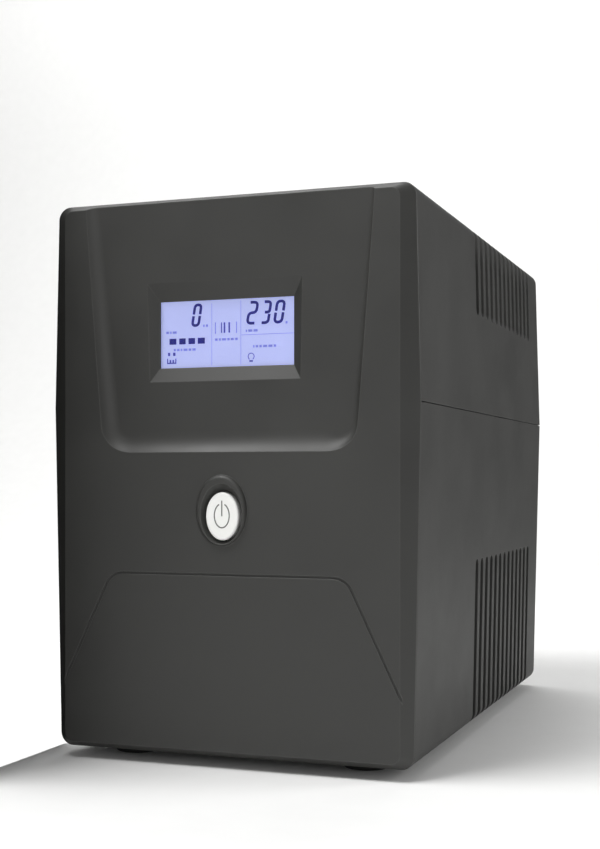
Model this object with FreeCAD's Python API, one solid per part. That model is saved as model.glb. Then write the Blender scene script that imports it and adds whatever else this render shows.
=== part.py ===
"""Tower uninterruptible power supply: moulded case, display panel, batteries, transformer,
inverter board and a rear panel with fan, mains inlet, breaker, outlets and data ports.

Frame: millimetres, +Z up, +Y from the front panel to the rear panel, +X to the right of someone
who faces the front. The origin is on the surface the feet stand on, below the middle of the unit.
"""

import FreeCAD, Part
import math
import os

V = FreeCAD.Vector
os.makedirs("parts", exist_ok=True)

# ---- case -----------------------------------------------------------------------------------
HALF_WIDTH = 73.0        # at the parting line, where the drafted case is widest
BODY_DEPTH = 245.0       # front face to rear edge, at the parting line
BODY_HEIGHT = 207.0      # without the feet
FOOT_HEIGHT = 4.0
WALL = 2.5
RING_PROUD = 1.6         # raised ring round the power button
BREAKER_PROUD = 3.0      # reset button beyond the rear edge of the case
SIDE_DRAFT_TOP = 1.8     # how far the upper cover leans in over its height
SIDE_DRAFT_BOTTOM = 2.7  # how far the lower shell leans in over its height
EDGE_RADIUS = 5.0        # long edges and rear corners of the case
SEAM_GAP = 0.45          # shadow gap between mouldings

Z_BOTTOM = FOOT_HEIGHT
Z_TOP = FOOT_HEIGHT + BODY_HEIGHT
Z_PART = Z_TOP - 77.3
Y_FRONT = RING_PROUD - (BODY_DEPTH + RING_PROUD + BREAKER_PROUD) / 2
Y_REAR = Y_FRONT + BODY_DEPTH
FACE_HALF = 66.3         # half width of the flat front face, inside its bevels
BEVEL_DEPTH = 4.4        # how far the bevels run back to the seam
BEVEL_RISE = 2.4         # height of the bevel along the top and bottom of the face
Y_SEAM = Y_FRONT + BEVEL_DEPTH
Z_FLOOR = Z_BOTTOM + WALL

# ---- side vents -----------------------------------------------------------------------------
VENT_COUNT = 13
VENT_PITCH = 9.57
VENT_WIDTH = 5.4
VENT_FIRST = 99.0        # centre of the first slot, behind the front face
UPPER_VENT_Z = Z_TOP - 36.5
LOWER_VENT_Z = Z_TOP - 138.0
VENT_WRAP_TOP = 22.0     # how far the slots run in over the top face
VENT_WRAP_BOTTOM = 14.0  # and in under the bottom face

# ---- front panel features -------------------------------------------------------------------
PANEL_WALL = 2.8
RECESS_DEPTH = 3.2       # at its lower edge
RECESS_TOP_DEPTH = 1.7   # at the top of the panel
RECESS_TOP_HALF = 57.6   # half width of the scooped recess at the top of the panel
RECESS_LOW_HALF = 50.0   # and at its lower edge
RECESS_LOW_Z = Z_TOP - 94.6
RECESS_CORNER = 14.5
COVE_LOW = 11.0          # radius of the cove along the recess's lower edge
COVE_LEFT = 8.0          # along its left side
COVE_RIGHT = 3.0         # and along its right side, which is nearly a step
SCREEN_X, SCREEN_Z = -1.7, Z_TOP - 50.6
SCREEN_W, SCREEN_H = 53.6, 24.9
FUNNEL_W, FUNNEL_H = 61.0, 37.0
FUNNEL_DEPTH = 2.4
BUTTON_X, BUTTON_Z = -0.9, Z_TOP - 118.2
BUTTON_W, BUTTON_H = 13.0, 17.7
BUTTON_CLEAR = 0.35
RING_W, RING_H = 20.2, 26.2
RING_X = -1.4            # the ring is drawn out a little to the left of the button
RING_LIFT = 2.0          # the ring's outline sits this much above the button's centre
LOWER_LINE_Z = Z_TOP - 139.7
LOWER_LINE_HALF = 46.5
LOWER_LINE_SLOPE = 0.48
GROOVE_W, GROOVE_D = 0.9, 0.7

# ---- inside ---------------------------------------------------------------------------------
BATTERY = (65.0, 94.0, 151.0)   # X, Y, Z of a 12 V 7 Ah block stood on its end
BATTERY_GAP = 0.6
BATTERY_Y0 = Y_FRONT + 22.2
BATTERY_BACK = BATTERY_Y0 + BATTERY[1]
BOARD_Y = Y_FRONT + 15.0         # front face of the display board
BOARD_T = 1.6
TRAY_Z, TRAY_T = 161.0, 1.2
MAIN_Z = TRAY_Z + TRAY_T + 6.0   # underside of the main board
CORE_Y = 42.0                    # middle of the transformer
CORE_W, CORE_H, CORE_STACK = 96.0, 80.0, 45.0
COIL_DEPTH = 73.0
PANEL_OUT = Y_REAR - 5.6         # outer face of the rear panel
REAR_T = 2.5
PANEL_IN = PANEL_OUT - REAR_T
OUTLET_X, OUTLET_ROWS = 30.0, (38.0, 89.0)
OUTLET_R = 19.6                  # earthed round recess for a two-pin plug
OUTLET_DEPTH = 17.5
FAN_X, FAN_Z, FAN_SIZE, FAN_T = -26.0, 160.0, 60.0, 15.0
INLET_X, INLET_Z = 31.0, 133.0
BREAKER_X, BREAKER_Z = 47.0, 160.0
JACK_X, JACK_Z = 22.0, 184.0
USB_X, USB_Z = 50.0, 184.0


# ---- small builders -------------------------------------------------------------------------
def save(name, *shapes):
    """Writes one node's solids to parts/name.step."""
    solids = [s for shape in shapes for s in shape.Solids]
    (solids[0] if len(solids) == 1 else Part.makeCompound(solids)).exportStep(f"parts/{name}.step")
    state = "ok" if all(s.isValid() and s.Volume > 0 for s in solids) else "BAD"
    print(f"{name:26s} {state} {len(solids):3d} solids {sum(s.Volume for s in solids) / 1000:9.2f} cm3")


def box(x0, x1, y0, y1, z0, z1):
    return Part.makeBox(x1 - x0, y1 - y0, z1 - z0, V(x0, y0, z0))


def rod_y(x, z, radius, y0, y1):
    return Part.makeCylinder(radius, y1 - y0, V(x, y0, z), V(0, 1, 0))


def rod_z(x, y, radius, z0, z1):
    return Part.makeCylinder(radius, z1 - z0, V(x, y, z0), V(0, 0, 1))


def rod_x(y, z, radius, x0, x1):
    return Part.makeCylinder(radius, x1 - x0, V(x0, y, z), V(1, 0, 0))


def fuse(*shapes):
    return shapes[0].multiFuse(list(shapes[1:])).removeSplitter()


def cut(shape, *tools):
    for tool in tools:
        shape = shape.cut(tool)
    return shape


def mirror_x(shape):
    return shape.mirror(V(0, 0, 0), V(1, 0, 0))


def rounded_wire(points, radii):
    """A closed wire through the points, each corner rounded with its own radius."""
    edges, ends = [], []
    count = len(points)
    for i, point in enumerate(points):
        if not radii[i]:
            ends.append((point, point, point))
            continue
        back = (points[i - 1] - point).normalize()
        on = (points[(i + 1) % count] - point).normalize()
        half = back.getAngle(on) / 2
        reach = radii[i] / math.tan(half)
        middle = (back + on).normalize() * (radii[i] / math.sin(half) - radii[i])
        ends.append((point + back * reach, point + middle, point + on * reach))
    for i, (start, middle, end) in enumerate(ends):
        if radii[i] > 0:
            edges.append(Part.Arc(start, middle, end).toShape())
        edges.append(Part.LineSegment(end, ends[(i + 1) % count][0]).toShape())
    return Part.Wire(edges)


def plate_y(points, radii, y0, y1):
    """A plate between y0 and y1 whose outline is given as (x, z) corners with radii."""
    wire = rounded_wire([V(x, y0, z) for x, z in points], radii)
    return Part.Face(wire).extrude(V(0, y1 - y0, 0))


def slab_y(x, z, width, height, radius, y0, y1):
    """A plate with rounded corners, centred on (x, z), between y0 and y1."""
    w, h = width / 2, height / 2
    corners = [(x - w, z - h), (x + w, z - h), (x + w, z + h), (x - w, z + h)]
    return plate_y(corners, [radius] * 4, y0, y1) if radius else box(x - w, x + w, y0, y1, z - h, z + h)


def slab_z(x, y, width, depth, radius, z0, z1):
    w, d = width / 2, depth / 2
    points = [V(x - w, y - d, z0), V(x + w, y - d, z0), V(x + w, y + d, z0), V(x - w, y + d, z0)]
    return Part.Face(rounded_wire(points, [radius] * 4)).extrude(V(0, 0, z1 - z0))


def oval_wire(x, z, width, height, y):
    """An upright ellipse in the plane y."""
    oval = Part.Ellipse(V(x, y, z + height / 2), V(x + width / 2, y, z), V(x, y, z))
    return Part.Wire(oval.toShape())


def oval_y(x, z, width, height, y0, y1):
    """An upright oval bar along Y."""
    return Part.Face(oval_wire(x, z, width, height, y0)).extrude(V(0, y1 - y0, 0))


def across(side, near, far):
    """The two x values near and far from the middle plane on one side, in rising order."""
    return sorted((side * near, side * far))


def fillet(shape, radius, chosen):
    """Rounds the edges for which chosen(edge) is true."""
    return shape.makeFillet(radius, [e for e in shape.Edges if chosen(e)])


def middle(edge):
    return edge.valueAt((edge.FirstParameter + edge.LastParameter) / 2)


def lead(points, bend, radius):
    """A wire or tube: straight runs joined by tangent arcs, swept with a round section."""
    edges, start = [], points[0]
    for before, corner, after in zip(points, points[1:], points[2:]):
        back, on = (before - corner).normalize(), (after - corner).normalize()
        half = back.getAngle(on) / 2
        reach = bend / math.tan(half)
        dip = (back + on).normalize() * (bend / math.sin(half) - bend)
        edges.append(Part.LineSegment(start, corner + back * reach).toShape())
        edges.append(Part.Arc(corner + back * reach, corner + dip, corner + on * reach).toShape())
        start = corner + on * reach
    edges.append(Part.LineSegment(start, points[-1]).toShape())
    path = Part.Wire(edges)
    ring = Part.Wire(Part.Circle(points[0], points[1] - points[0], radius).toShape())
    tube = path.makePipeShell([ring], True, True)
    expected = math.pi * radius**2 * path.Length
    if abs(tube.Volume / expected - 1) > 0.01:
        print("  a lead's volume is off:", tube.Volume, expected)
    return Part.Solid(tube.Shells[0]) if not tube.Solids else tube.Solids[0]


def screw_y(x, z, head_r, shank_r, y_head, head_t, length, into):
    """A pan-head screw along Y. into is +1 when its shank points to +Y, else -1."""
    ends = sorted((y_head, y_head + into * head_t))
    tip = sorted((y_head + into * head_t, y_head + into * (head_t + length)))
    head = rod_y(x, z, head_r, *ends)
    outer = min(head.Edges, key=lambda e: into * middle(e).y)
    head = head.makeFillet(head_t * 0.45, [outer])
    slot_depth = head_t * 0.45
    deep = sorted((y_head - into * 0.5, y_head + into * slot_depth))
    arm, thin = head_r * 0.62, head_r * 0.16
    level = box(x - arm, x + arm, *deep, z - thin, z + thin)
    upright = box(x - thin, x + thin, *deep, z - arm, z + arm)
    cross = fuse(level, upright)
    return fuse(head.cut(cross), rod_y(x, z, shank_r, *tip))


def turned(shape, axis, degrees, about):
    copy = shape.copy()
    copy.rotate(about, axis, degrees)
    return copy


def screw_z(x, y, head_r, shank_r, z_head, head_t, length, into):
    """The same screw along Z. into is +1 when its shank points up."""
    screw = screw_y(0, 0, head_r, shank_r, 0, head_t, length, 1)
    screw = turned(screw, V(1, 0, 0), 90 * into, V(0, 0, 0))
    screw.translate(V(x, y, z_head))
    return screw


# ---- case mouldings -------------------------------------------------------------------------
def half_width(z, upper):
    """Outer half width of the drafted case at height z, on the upper or the lower moulding."""
    if upper:
        return HALF_WIDTH - (z - Z_PART) * SIDE_DRAFT_TOP / (Z_TOP - Z_PART)
    return HALF_WIDTH - (Z_PART - z) * SIDE_DRAFT_BOTTOM / (Z_PART - Z_BOTTOM)


def shell_block(z0, z1, upper, inset, y_front=Y_SEAM + SEAM_GAP / 2):
    """A solid drafted block between two heights, taken in from the outer faces by inset."""
    wires = []
    for z in (z0, z1):
        w = half_width(z, upper)
        rear = Y_REAR - (HALF_WIDTH - w) - inset
        corners = [(-w + inset, y_front), (w - inset, y_front), (w - inset, rear), (-w + inset, rear)]
        points = [V(x, y, z) for x, y in corners]
        wires.append(Part.makePolygon(points + [points[0]]))
    return Part.makeLoft(wires, True, True)


def round_shell(block, radius, z_flat, z_parting):
    """Rounds a block's long edges on its flat side and its rear edges, leaving the parting plane sharp."""
    front = min(v.Point.y for v in block.Vertexes)

    def chosen(edge):
        low, high = (v.Point for v in (edge.Vertexes[0], edge.Vertexes[-1]))
        on_parting = abs(low.z - z_parting) < 0.01 and abs(high.z - z_parting) < 0.01
        on_front = abs(low.y - front) < 0.01 and abs(high.y - front) < 0.01
        return not on_parting and not on_front

    return fillet(block, radius, chosen)


def vent_slots(upper):
    """Cutters for the row of side slots, which wrap round the long edge of the case."""
    cutters = []
    for i in range(VENT_COUNT):
        y = Y_FRONT + VENT_FIRST + i * VENT_PITCH
        low, high = y - VENT_WIDTH / 2, y + VENT_WIDTH / 2
        end = VENT_WIDTH / 2
        if upper:
            inner = half_width(Z_TOP, True) - VENT_WRAP_TOP
            slot = fuse(
                box(inner + end, HALF_WIDTH + 5, low, high, UPPER_VENT_Z + end, Z_TOP + 5),
                rod_x(y, UPPER_VENT_Z + end, end, inner + end, HALF_WIDTH + 5),
                rod_z(inner + end, y, end, UPPER_VENT_Z + end, Z_TOP + 5),
            )
        else:
            inner = half_width(Z_BOTTOM, False) - VENT_WRAP_BOTTOM
            slot = fuse(
                box(inner + end, HALF_WIDTH + 5, low, high, Z_BOTTOM - 5, LOWER_VENT_Z - end),
                rod_x(y, LOWER_VENT_Z - end, end, inner + end, HALF_WIDTH + 5),
                rod_z(inner + end, y, end, Z_BOTTOM - 5, LOWER_VENT_Z - end),
            )
        cutters += [slot, mirror_x(slot)]
    return Part.makeCompound(cutters)


REAR_WINDOW = (-62.0, 62.0, Z_BOTTOM + 9.0, Z_TOP - 9.0)
FRONT_TOWER, REAR_TOWER = (60.5, Y_FRONT + 14.4), (61.0, 98.0)
TOWER_R, SCREW_HOLE_R = 4.5, 1.7
SCREW_SEAT = 6.0         # the case screws' heads bear this far under the parting plane
TONGUE_OUT, TONGUE_RISE = 1.5, 2.2
TRAY_POSTS = ((60.0, 9.3), (60.0, 76.3))
POST_R = 3.2
BRACKET_SCREW_X = 54.0


def both_sides(places):
    return [(s * x, y) for x, y in places for s in (-1, 1)]


def tower_places():
    return both_sides((FRONT_TOWER, REAR_TOWER))


def post_places():
    return both_sides(TRAY_POSTS)


def rear_window_cut():
    x0, x1, z0, z1 = REAR_WINDOW
    return slab_y((x0 + x1) / 2, (z0 + z1) / 2, x1 - x0, z1 - z0, 4.0, Y_REAR - 25, Y_REAR + 5)


def parting_band(outer, inner, z0, z1, upper):
    """A thin wall that follows the case outline between two insets, for the tongue and its groove."""
    return shell_block(z0, z1, upper, outer).cut(
        shell_block(z0 - 1, z1 + 1, upper, inner, Y_SEAM - 5)
    ).cut(box(-90, 90, Y_SEAM - 10, Y_SEAM + 8, z0 - 2, z1 + 2))


def panel_guides(z0, z1, upper):
    """Ribs inside both side walls that hold the edges of the rear panel."""
    rib = fuse(
        box(64.0, HALF_WIDTH, PANEL_IN - 2.2, PANEL_IN - 0.2, z0, z1),
        box(66.3, HALF_WIDTH, PANEL_IN - 0.2, PANEL_OUT + 0.2, z0, z1),
    )
    rib = rib.common(shell_block(z0, z1, upper, WALL / 2))
    return [rib, mirror_x(rib)]


def upper_cover():
    z0 = Z_PART + SEAM_GAP / 2
    outer = round_shell(shell_block(z0, Z_TOP, True, 0), EDGE_RADIUS, Z_TOP, z0)
    inner = shell_block(z0 - 5, Z_TOP - WALL, True, WALL, Y_SEAM - 2)
    inner = round_shell(inner, EDGE_RADIUS - WALL, Z_TOP - WALL, z0 - 5)
    shape = outer.cut(inner)
    groove = parting_band(TONGUE_OUT - 0.2, WALL + 0.3, z0 - 1, z0 + TONGUE_RISE + 0.2, True)
    shape = cut(shape, groove, rear_window_cut(), vent_slots(True))
    posts = [rod_z(x, y, TOWER_R, z0 + 0.2, Z_TOP - 1) for x, y in tower_places()]
    ribs = [box(-50, 50, y, y + 2, Z_TOP - 7, Z_TOP - 1) for y in (-80.0, -40.0, 60.0)]
    guides = panel_guides(z0 + 6, Z_TOP - 12, True)
    shape = fuse(shape, *posts, *ribs, *guides)
    pilots = [rod_z(x, y, SCREW_HOLE_R, z0 - 1, z0 + 30) for x, y in tower_places()]
    return cut(shape, *pilots)


def lower_shell():
    z1 = Z_PART - SEAM_GAP / 2
    outer = round_shell(shell_block(Z_BOTTOM, z1, False, 0), EDGE_RADIUS, Z_BOTTOM, z1)
    inner = shell_block(Z_FLOOR, z1 + 5, False, WALL, Y_SEAM - 2)
    inner = round_shell(inner, EDGE_RADIUS - WALL, Z_FLOOR, z1 + 5)
    shape = cut(outer.cut(inner), rear_window_cut(), vent_slots(False))
    tongue = parting_band(TONGUE_OUT, WALL, z1 - 2, z1 + TONGUE_RISE, False).cut(rear_window_cut())
    towers = [rod_z(x, y, TOWER_R, Z_FLOOR - 1, z1) for x, y in tower_places()]
    posts = [rod_z(x, y, POST_R, Z_FLOOR - 1, TRAY_Z) for x, y in post_places()]
    ribs = [
        box(-64, 64, BATTERY_Y0 - 4.2, BATTERY_Y0 - 2.2, Z_FLOOR - 1, 60),
        box(-64, 64, BATTERY_BACK + 0.4, BATTERY_BACK + 2.4, Z_FLOOR - 1, 30),
    ]
    guides = panel_guides(Z_FLOOR + 6, z1 - 4, False)
    shape = fuse(shape, tongue, *towers, *posts, *ribs, *guides)
    bores = []
    for x, y in tower_places():
        bores.append(rod_z(x, y, 2.2, Z_BOTTOM - 5, z1 + 5))
        bores.append(rod_z(x, y, 3.6, Z_BOTTOM - 5, z1 - SCREW_SEAT))
    pilots = [rod_z(x, y, 1.35, TRAY_Z - 14, TRAY_Z + 1) for x, y in post_places()]
    feet = [rod_z(x, y, 5.0, Z_BOTTOM - 1, Z_BOTTOM + 1.0) for x, y in foot_places()]
    core_holes = [rod_z(s * BRACKET_SCREW_X, CORE_Y, 1.6, Z_FLOOR - 3, Z_FLOOR + 1) for s in (-1, 1)]
    return cut(shape, *bores, *pilots, *feet, *core_holes)


def foot_places():
    return both_sides(((47.0, Y_FRONT + 24.0), (47.0, Y_REAR - 26.0)))


def rubber_feet():
    feet = []
    for x, y in foot_places():
        pad = rod_z(x, y, 9.0, 0, FOOT_HEIGHT - 0.02)
        pad = fillet(pad, 1.2, lambda e: middle(e).z < 0.5 and len(e.Vertexes) == 1)
        feet.append(fuse(pad, rod_z(x, y, 4.9, FOOT_HEIGHT - 0.5, FOOT_HEIGHT + 0.9)))
    return feet


# ---- front panel and what it carries --------------------------------------------------------
def outline(y, inset, corner):
    """The case outline at the seam as a wire in the plane y, taken in by inset."""
    low, mid, top = half_width(Z_BOTTOM, False), HALF_WIDTH, half_width(Z_TOP, True)
    points = [
        V(-low + inset, y, Z_BOTTOM + inset), V(low - inset, y, Z_BOTTOM + inset), V(mid - inset, y, Z_PART),
        V(top - inset, y, Z_TOP - inset), V(-top + inset, y, Z_TOP - inset), V(-mid + inset, y, Z_PART),
    ]
    return rounded_wire(points, [corner, corner, 0, corner, corner, 0])


def face_outline(y):
    low, top = Z_BOTTOM + BEVEL_RISE, Z_TOP - BEVEL_RISE
    h = FACE_HALF
    points = [V(-h, y, low), V(h, y, low), V(h, y, Z_PART), V(h, y, top), V(-h, y, top), V(-h, y, Z_PART)]
    return rounded_wire(points, [3.5, 3.5, 0, 3.5, 3.5, 0])


def let_out(radius, depth):
    """How far outside the visible edge a cove's centre line of contact lies."""
    return radius - math.sqrt(2 * radius * depth - depth**2) if radius > depth else 0.0


def recess_points():
    """Corners of the scoop's blank, let out so that each cove meets the face on the visible edge."""
    low_left = RECESS_LOW_HALF + let_out(COVE_LEFT, RECESS_DEPTH)
    top_left = RECESS_TOP_HALF + let_out(COVE_LEFT, RECESS_TOP_DEPTH)
    z_low, z_high = RECESS_LOW_Z - let_out(COVE_LOW, RECESS_DEPTH), Z_TOP + 20

    def half(low, top, z):
        return low + (top - low) * (z - RECESS_LOW_Z) / (Z_TOP - RECESS_LOW_Z)

    right = [(half(RECESS_LOW_HALF, RECESS_TOP_HALF, z), z) for z in (z_low, z_high)]
    left = [(-half(low_left, top_left, z), z) for z in (z_high, z_low)]
    return right + left


def recess_tool():
    """The scoop: a wide cove along the lower edge and the left side, and a tight one on the right."""
    floor_y = Y_FRONT + RECESS_DEPTH
    block = plate_y(recess_points(), [RECESS_CORNER, 0, 0, RECESS_CORNER], Y_FRONT - 20, floor_y)
    document = FreeCAD.newDocument("recess")
    base = document.addObject("Part::Feature", "block")
    base.Shape = block
    rounded = document.addObject("Part::Fillet", "cove")
    rounded.Base = base
    radii = []
    for number, edge in enumerate(base.Shape.Edges, 1):
        point = middle(edge)
        if abs(point.y - floor_y) > 0.01 or point.z > Z_TOP + 10:
            continue
        side = COVE_RIGHT if point.x > 0 else COVE_LEFT
        start, end = edge.firstVertex(True).Point.z, edge.lastVertex(True).Point.z
        if abs(start - end) < 0.01:
            radii.append((number, COVE_LOW, COVE_LOW))
        elif edge.Curve.TypeId == "Part::GeomCircle":
            radii.append((number, *sorted((COVE_LOW, side), reverse=start < end)))
        else:
            radii.append((number, side, side))
    rounded.Edges = radii
    document.recompute()
    shape = rounded.Shape.copy()
    FreeCAD.closeDocument("recess")
    shape = shape.Solids[0]
    lean = math.atan((RECESS_DEPTH - RECESS_TOP_DEPTH) / (Z_TOP - RECESS_LOW_Z))
    return turned(shape, V(1, 0, 0), math.degrees(lean), V(0, floor_y, RECESS_LOW_Z))


def lower_line_tool():
    """Groove that outlines the lower pad of the panel."""
    z_low = -20.0
    spread = LOWER_LINE_SLOPE * (LOWER_LINE_Z - z_low)

    def pad(grow):
        half = LOWER_LINE_HALF + grow * 0.8
        high = LOWER_LINE_Z + grow
        corners = [(-half - spread, z_low), (half + spread, z_low), (half, high), (-half, high)]
        return plate_y(corners, [0, 0, 8.0 + grow, 8.0 + grow], Y_FRONT - 3, Y_FRONT + GROOVE_D)

    return pad(GROOVE_W / 2).cut(pad(-GROOVE_W / 2))


def funnel_tool():
    """Sloped walls that run in to the screen, and the straight hole behind them."""

    def ring(width, height, y):
        w, h = width / 2, height / 2
        corners = [(-w, -h), (w, -h), (w, h), (-w, h)]
        points = [V(SCREEN_X + x, y, SCREEN_Z + z) for x, z in corners]
        return Part.makePolygon(points + [points[0]])

    share = (Z_TOP - SCREEN_Z) / (Z_TOP - RECESS_LOW_Z)
    mouth = Y_FRONT + RECESS_TOP_DEPTH + (RECESS_DEPTH - RECESS_TOP_DEPTH) * share
    over = 1.0
    flare = 1 + over / FUNNEL_DEPTH
    wide_w = SCREEN_W + (FUNNEL_W - SCREEN_W) * flare
    wide_h = SCREEN_H + (FUNNEL_H - SCREEN_H) * flare
    end = mouth + FUNNEL_DEPTH
    slope = Part.makeLoft([ring(wide_w, wide_h, mouth - over), ring(SCREEN_W, SCREEN_H, end)], True, True)
    return fuse(slope, slab_y(SCREEN_X, SCREEN_Z, SCREEN_W, SCREEN_H, 0, end - 0.01, end + 12))


def button_ring():
    """Rounded oval ring, thicker above the button, standing proud of the face."""
    blank = oval_y(RING_X, BUTTON_Z + RING_LIFT, RING_W, RING_H, Y_FRONT - RING_PROUD, Y_FRONT + 0.5)
    return fillet(blank, RING_PROUD - 0.05, lambda e: middle(e).y < Y_FRONT - RING_PROUD + 0.01)


BOARD_BOSSES = ((-31.5, 183.0), (31.5, 183.0), (-31.5, 84.0), (31.5, 84.0))
CLIP_HEIGHTS = (35.0, 100.0, 172.0)
LENS_Y = Y_FRONT + 5.6
LENS_T = 1.2
LENS_SEAT = (59.0, 30.5)
HOLE_W, HOLE_H = BUTTON_W + 2 * BUTTON_CLEAR, BUTTON_H + 2 * BUTTON_CLEAR


def front_panel():
    blank = Part.makeLoft([outline(Y_SEAM - SEAM_GAP / 2, 0, EDGE_RADIUS), face_outline(Y_FRONT)], True, True)
    hollow = Part.Face(outline(Y_FRONT + PANEL_WALL, 6.2, 2.0)).extrude(V(0, 10, 0))
    rim = Part.Face(outline(Y_FRONT + PANEL_WALL, 2.85, 2.2)).extrude(V(0, BEVEL_DEPTH + 2.2, 0))
    rim = rim.cut(hollow)
    shape = fuse(blank.cut(hollow), rim)
    back = Y_FRONT + RECESS_DEPTH + 2.6
    low, top = RECESS_LOW_HALF + 2.5, RECESS_TOP_HALF + 0.9
    corners = [(-low, RECESS_LOW_Z - 2.5), (low, RECESS_LOW_Z - 2.5), (top, Z_TOP - 5), (-top, Z_TOP - 5)]
    pad = plate_y(corners, [13, 13, 0, 0], Y_FRONT + 2.0, back)
    boss_back = LENS_Y + 2.2
    screen_boss = slab_y(SCREEN_X, SCREEN_Z, FUNNEL_W + 6, FUNNEL_H + 6, 2, Y_FRONT + 3.2, boss_back)
    collar = oval_y(BUTTON_X, BUTTON_Z, BUTTON_W + 4.2, BUTTON_H + 4.2, Y_FRONT + 1.5, Y_FRONT + 6.5)
    bosses = [rod_y(x, z, 3.0, Y_FRONT + 2.0, BOARD_Y) for x, z in BOARD_BOSSES]
    clips = []
    for side in (-1, 1):
        for z in CLIP_HEIGHTS:
            inner = half_width(z, z > Z_PART) - WALL - 2.4
            clips.append(box(*across(side, inner, inner + 1.6), Y_SEAM - 1.6, Y_SEAM + 13, z - 6, z + 6))
    shape = fuse(shape, pad, screen_boss, collar, button_ring(), *bosses, *clips)
    pilots = [rod_y(x, z, 1.15, BOARD_Y - 7, BOARD_Y + 1) for x, z in BOARD_BOSSES]
    hole = oval_y(BUTTON_X, BUTTON_Z, HOLE_W, HOLE_H, Y_FRONT - 5, Y_FRONT + 9)
    lens_seat = slab_y(SCREEN_X, SCREEN_Z, *LENS_SEAT, 1.0, LENS_Y, LENS_Y + 6)
    tools = [recess_tool(), funnel_tool(), lower_line_tool(), hole, button_flare(), lens_seat]
    return cut(shape, *tools, *pilots)


def button_flare():
    """Sloped lead-in from the crest of the ring down to the button hole."""
    crest = Y_FRONT - RING_PROUD - 0.6
    wide = oval_wire(BUTTON_X, BUTTON_Z + 0.9, HOLE_W + 3.4, HOLE_H + 4.8, crest)
    tight = oval_wire(BUTTON_X, BUTTON_Z, HOLE_W, HOLE_H, Y_FRONT + 1.4)
    return Part.makeLoft([wide, tight], True, True)


def display_parts():
    save("display_window", slab_y(SCREEN_X, SCREEN_Z, 58.6, 30.1, 0.8, LENS_Y + 0.02, LENS_Y + LENS_T))
    glass_y = LENS_Y + LENS_T + 0.05
    save("lcd_glass", slab_y(SCREEN_X, SCREEN_Z, 57.0, 28.5, 0.3, glass_y, glass_y + 2.0))
    frame_y = LENS_Y + 2.3
    frame = slab_y(SCREEN_X, SCREEN_Z, 63.0, 36.0, 1.5, frame_y, BOARD_Y)
    save("lcd_frame", frame.cut(slab_y(SCREEN_X, SCREEN_Z, 57.6, 29.1, 0.4, frame_y - 1, BOARD_Y + 1)))
    save("lcd_backlight", slab_y(SCREEN_X, SCREEN_Z, 56.5, 28.0, 0.4, glass_y + 2.02, BOARD_Y - 0.02))
    board_z = (BOARD_BOSSES[0][1] + BOARD_BOSSES[2][1]) / 2
    board = slab_y(0, board_z, 70.0, 107.0, 2.0, BOARD_Y, BOARD_Y + BOARD_T)
    save("display_board", cut(board, *[rod_y(x, z, 1.5, BOARD_Y - 1, BOARD_Y + 3) for x, z in BOARD_BOSSES]))
    head_y = BOARD_Y + BOARD_T + 1.6
    screws = [screw_y(x, z, 2.7, 1.05, head_y, 1.58, 6.5, -1) for x, z in BOARD_BOSSES]
    save("display_board_screws", *screws)


def power_button():
    """Cap with a rounded rim, a retaining flange behind the collar and a stem for the switch."""
    face = Y_FRONT - 0.9
    cap = oval_y(BUTTON_X, BUTTON_Z, BUTTON_W, BUTTON_H, face, Y_FRONT + 7.0)
    cap = fillet(cap, 0.8, lambda e: middle(e).y < face + 0.01)
    flange = oval_y(BUTTON_X, BUTTON_Z, BUTTON_W + 3.6, BUTTON_H + 3.6, Y_FRONT + 6.85, Y_FRONT + 8.0)
    stem = rod_y(BUTTON_X, BUTTON_Z, 1.9, Y_FRONT + 7.8, Y_FRONT + 10.4)
    save("power_button", fuse(cap, flange, stem))
    plunger = rod_y(BUTTON_X, BUTTON_Z, 1.6, Y_FRONT + 10.42, Y_FRONT + 12.4)
    save("switch_plunger", plunger)
    housing = slab_y(BUTTON_X, BUTTON_Z, 6.0, 6.0, 0.4, Y_FRONT + 11.6, BOARD_Y - 0.01)
    save("tact_switch", housing.cut(rod_y(BUTTON_X, BUTTON_Z, 1.75, Y_FRONT + 11, Y_FRONT + 13.6)))


# ---- batteries ------------------------------------------------------------------------------
def battery_places():
    half = BATTERY[0] / 2 + BATTERY_GAP / 2
    return (("battery_left", -half), ("battery_right", half))


BATTERY_Z0 = Z_FLOOR + 0.6
TAB_Z = BATTERY_Z0 + BATTERY[2] - 13.0
TAB_X = 22.0


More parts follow.
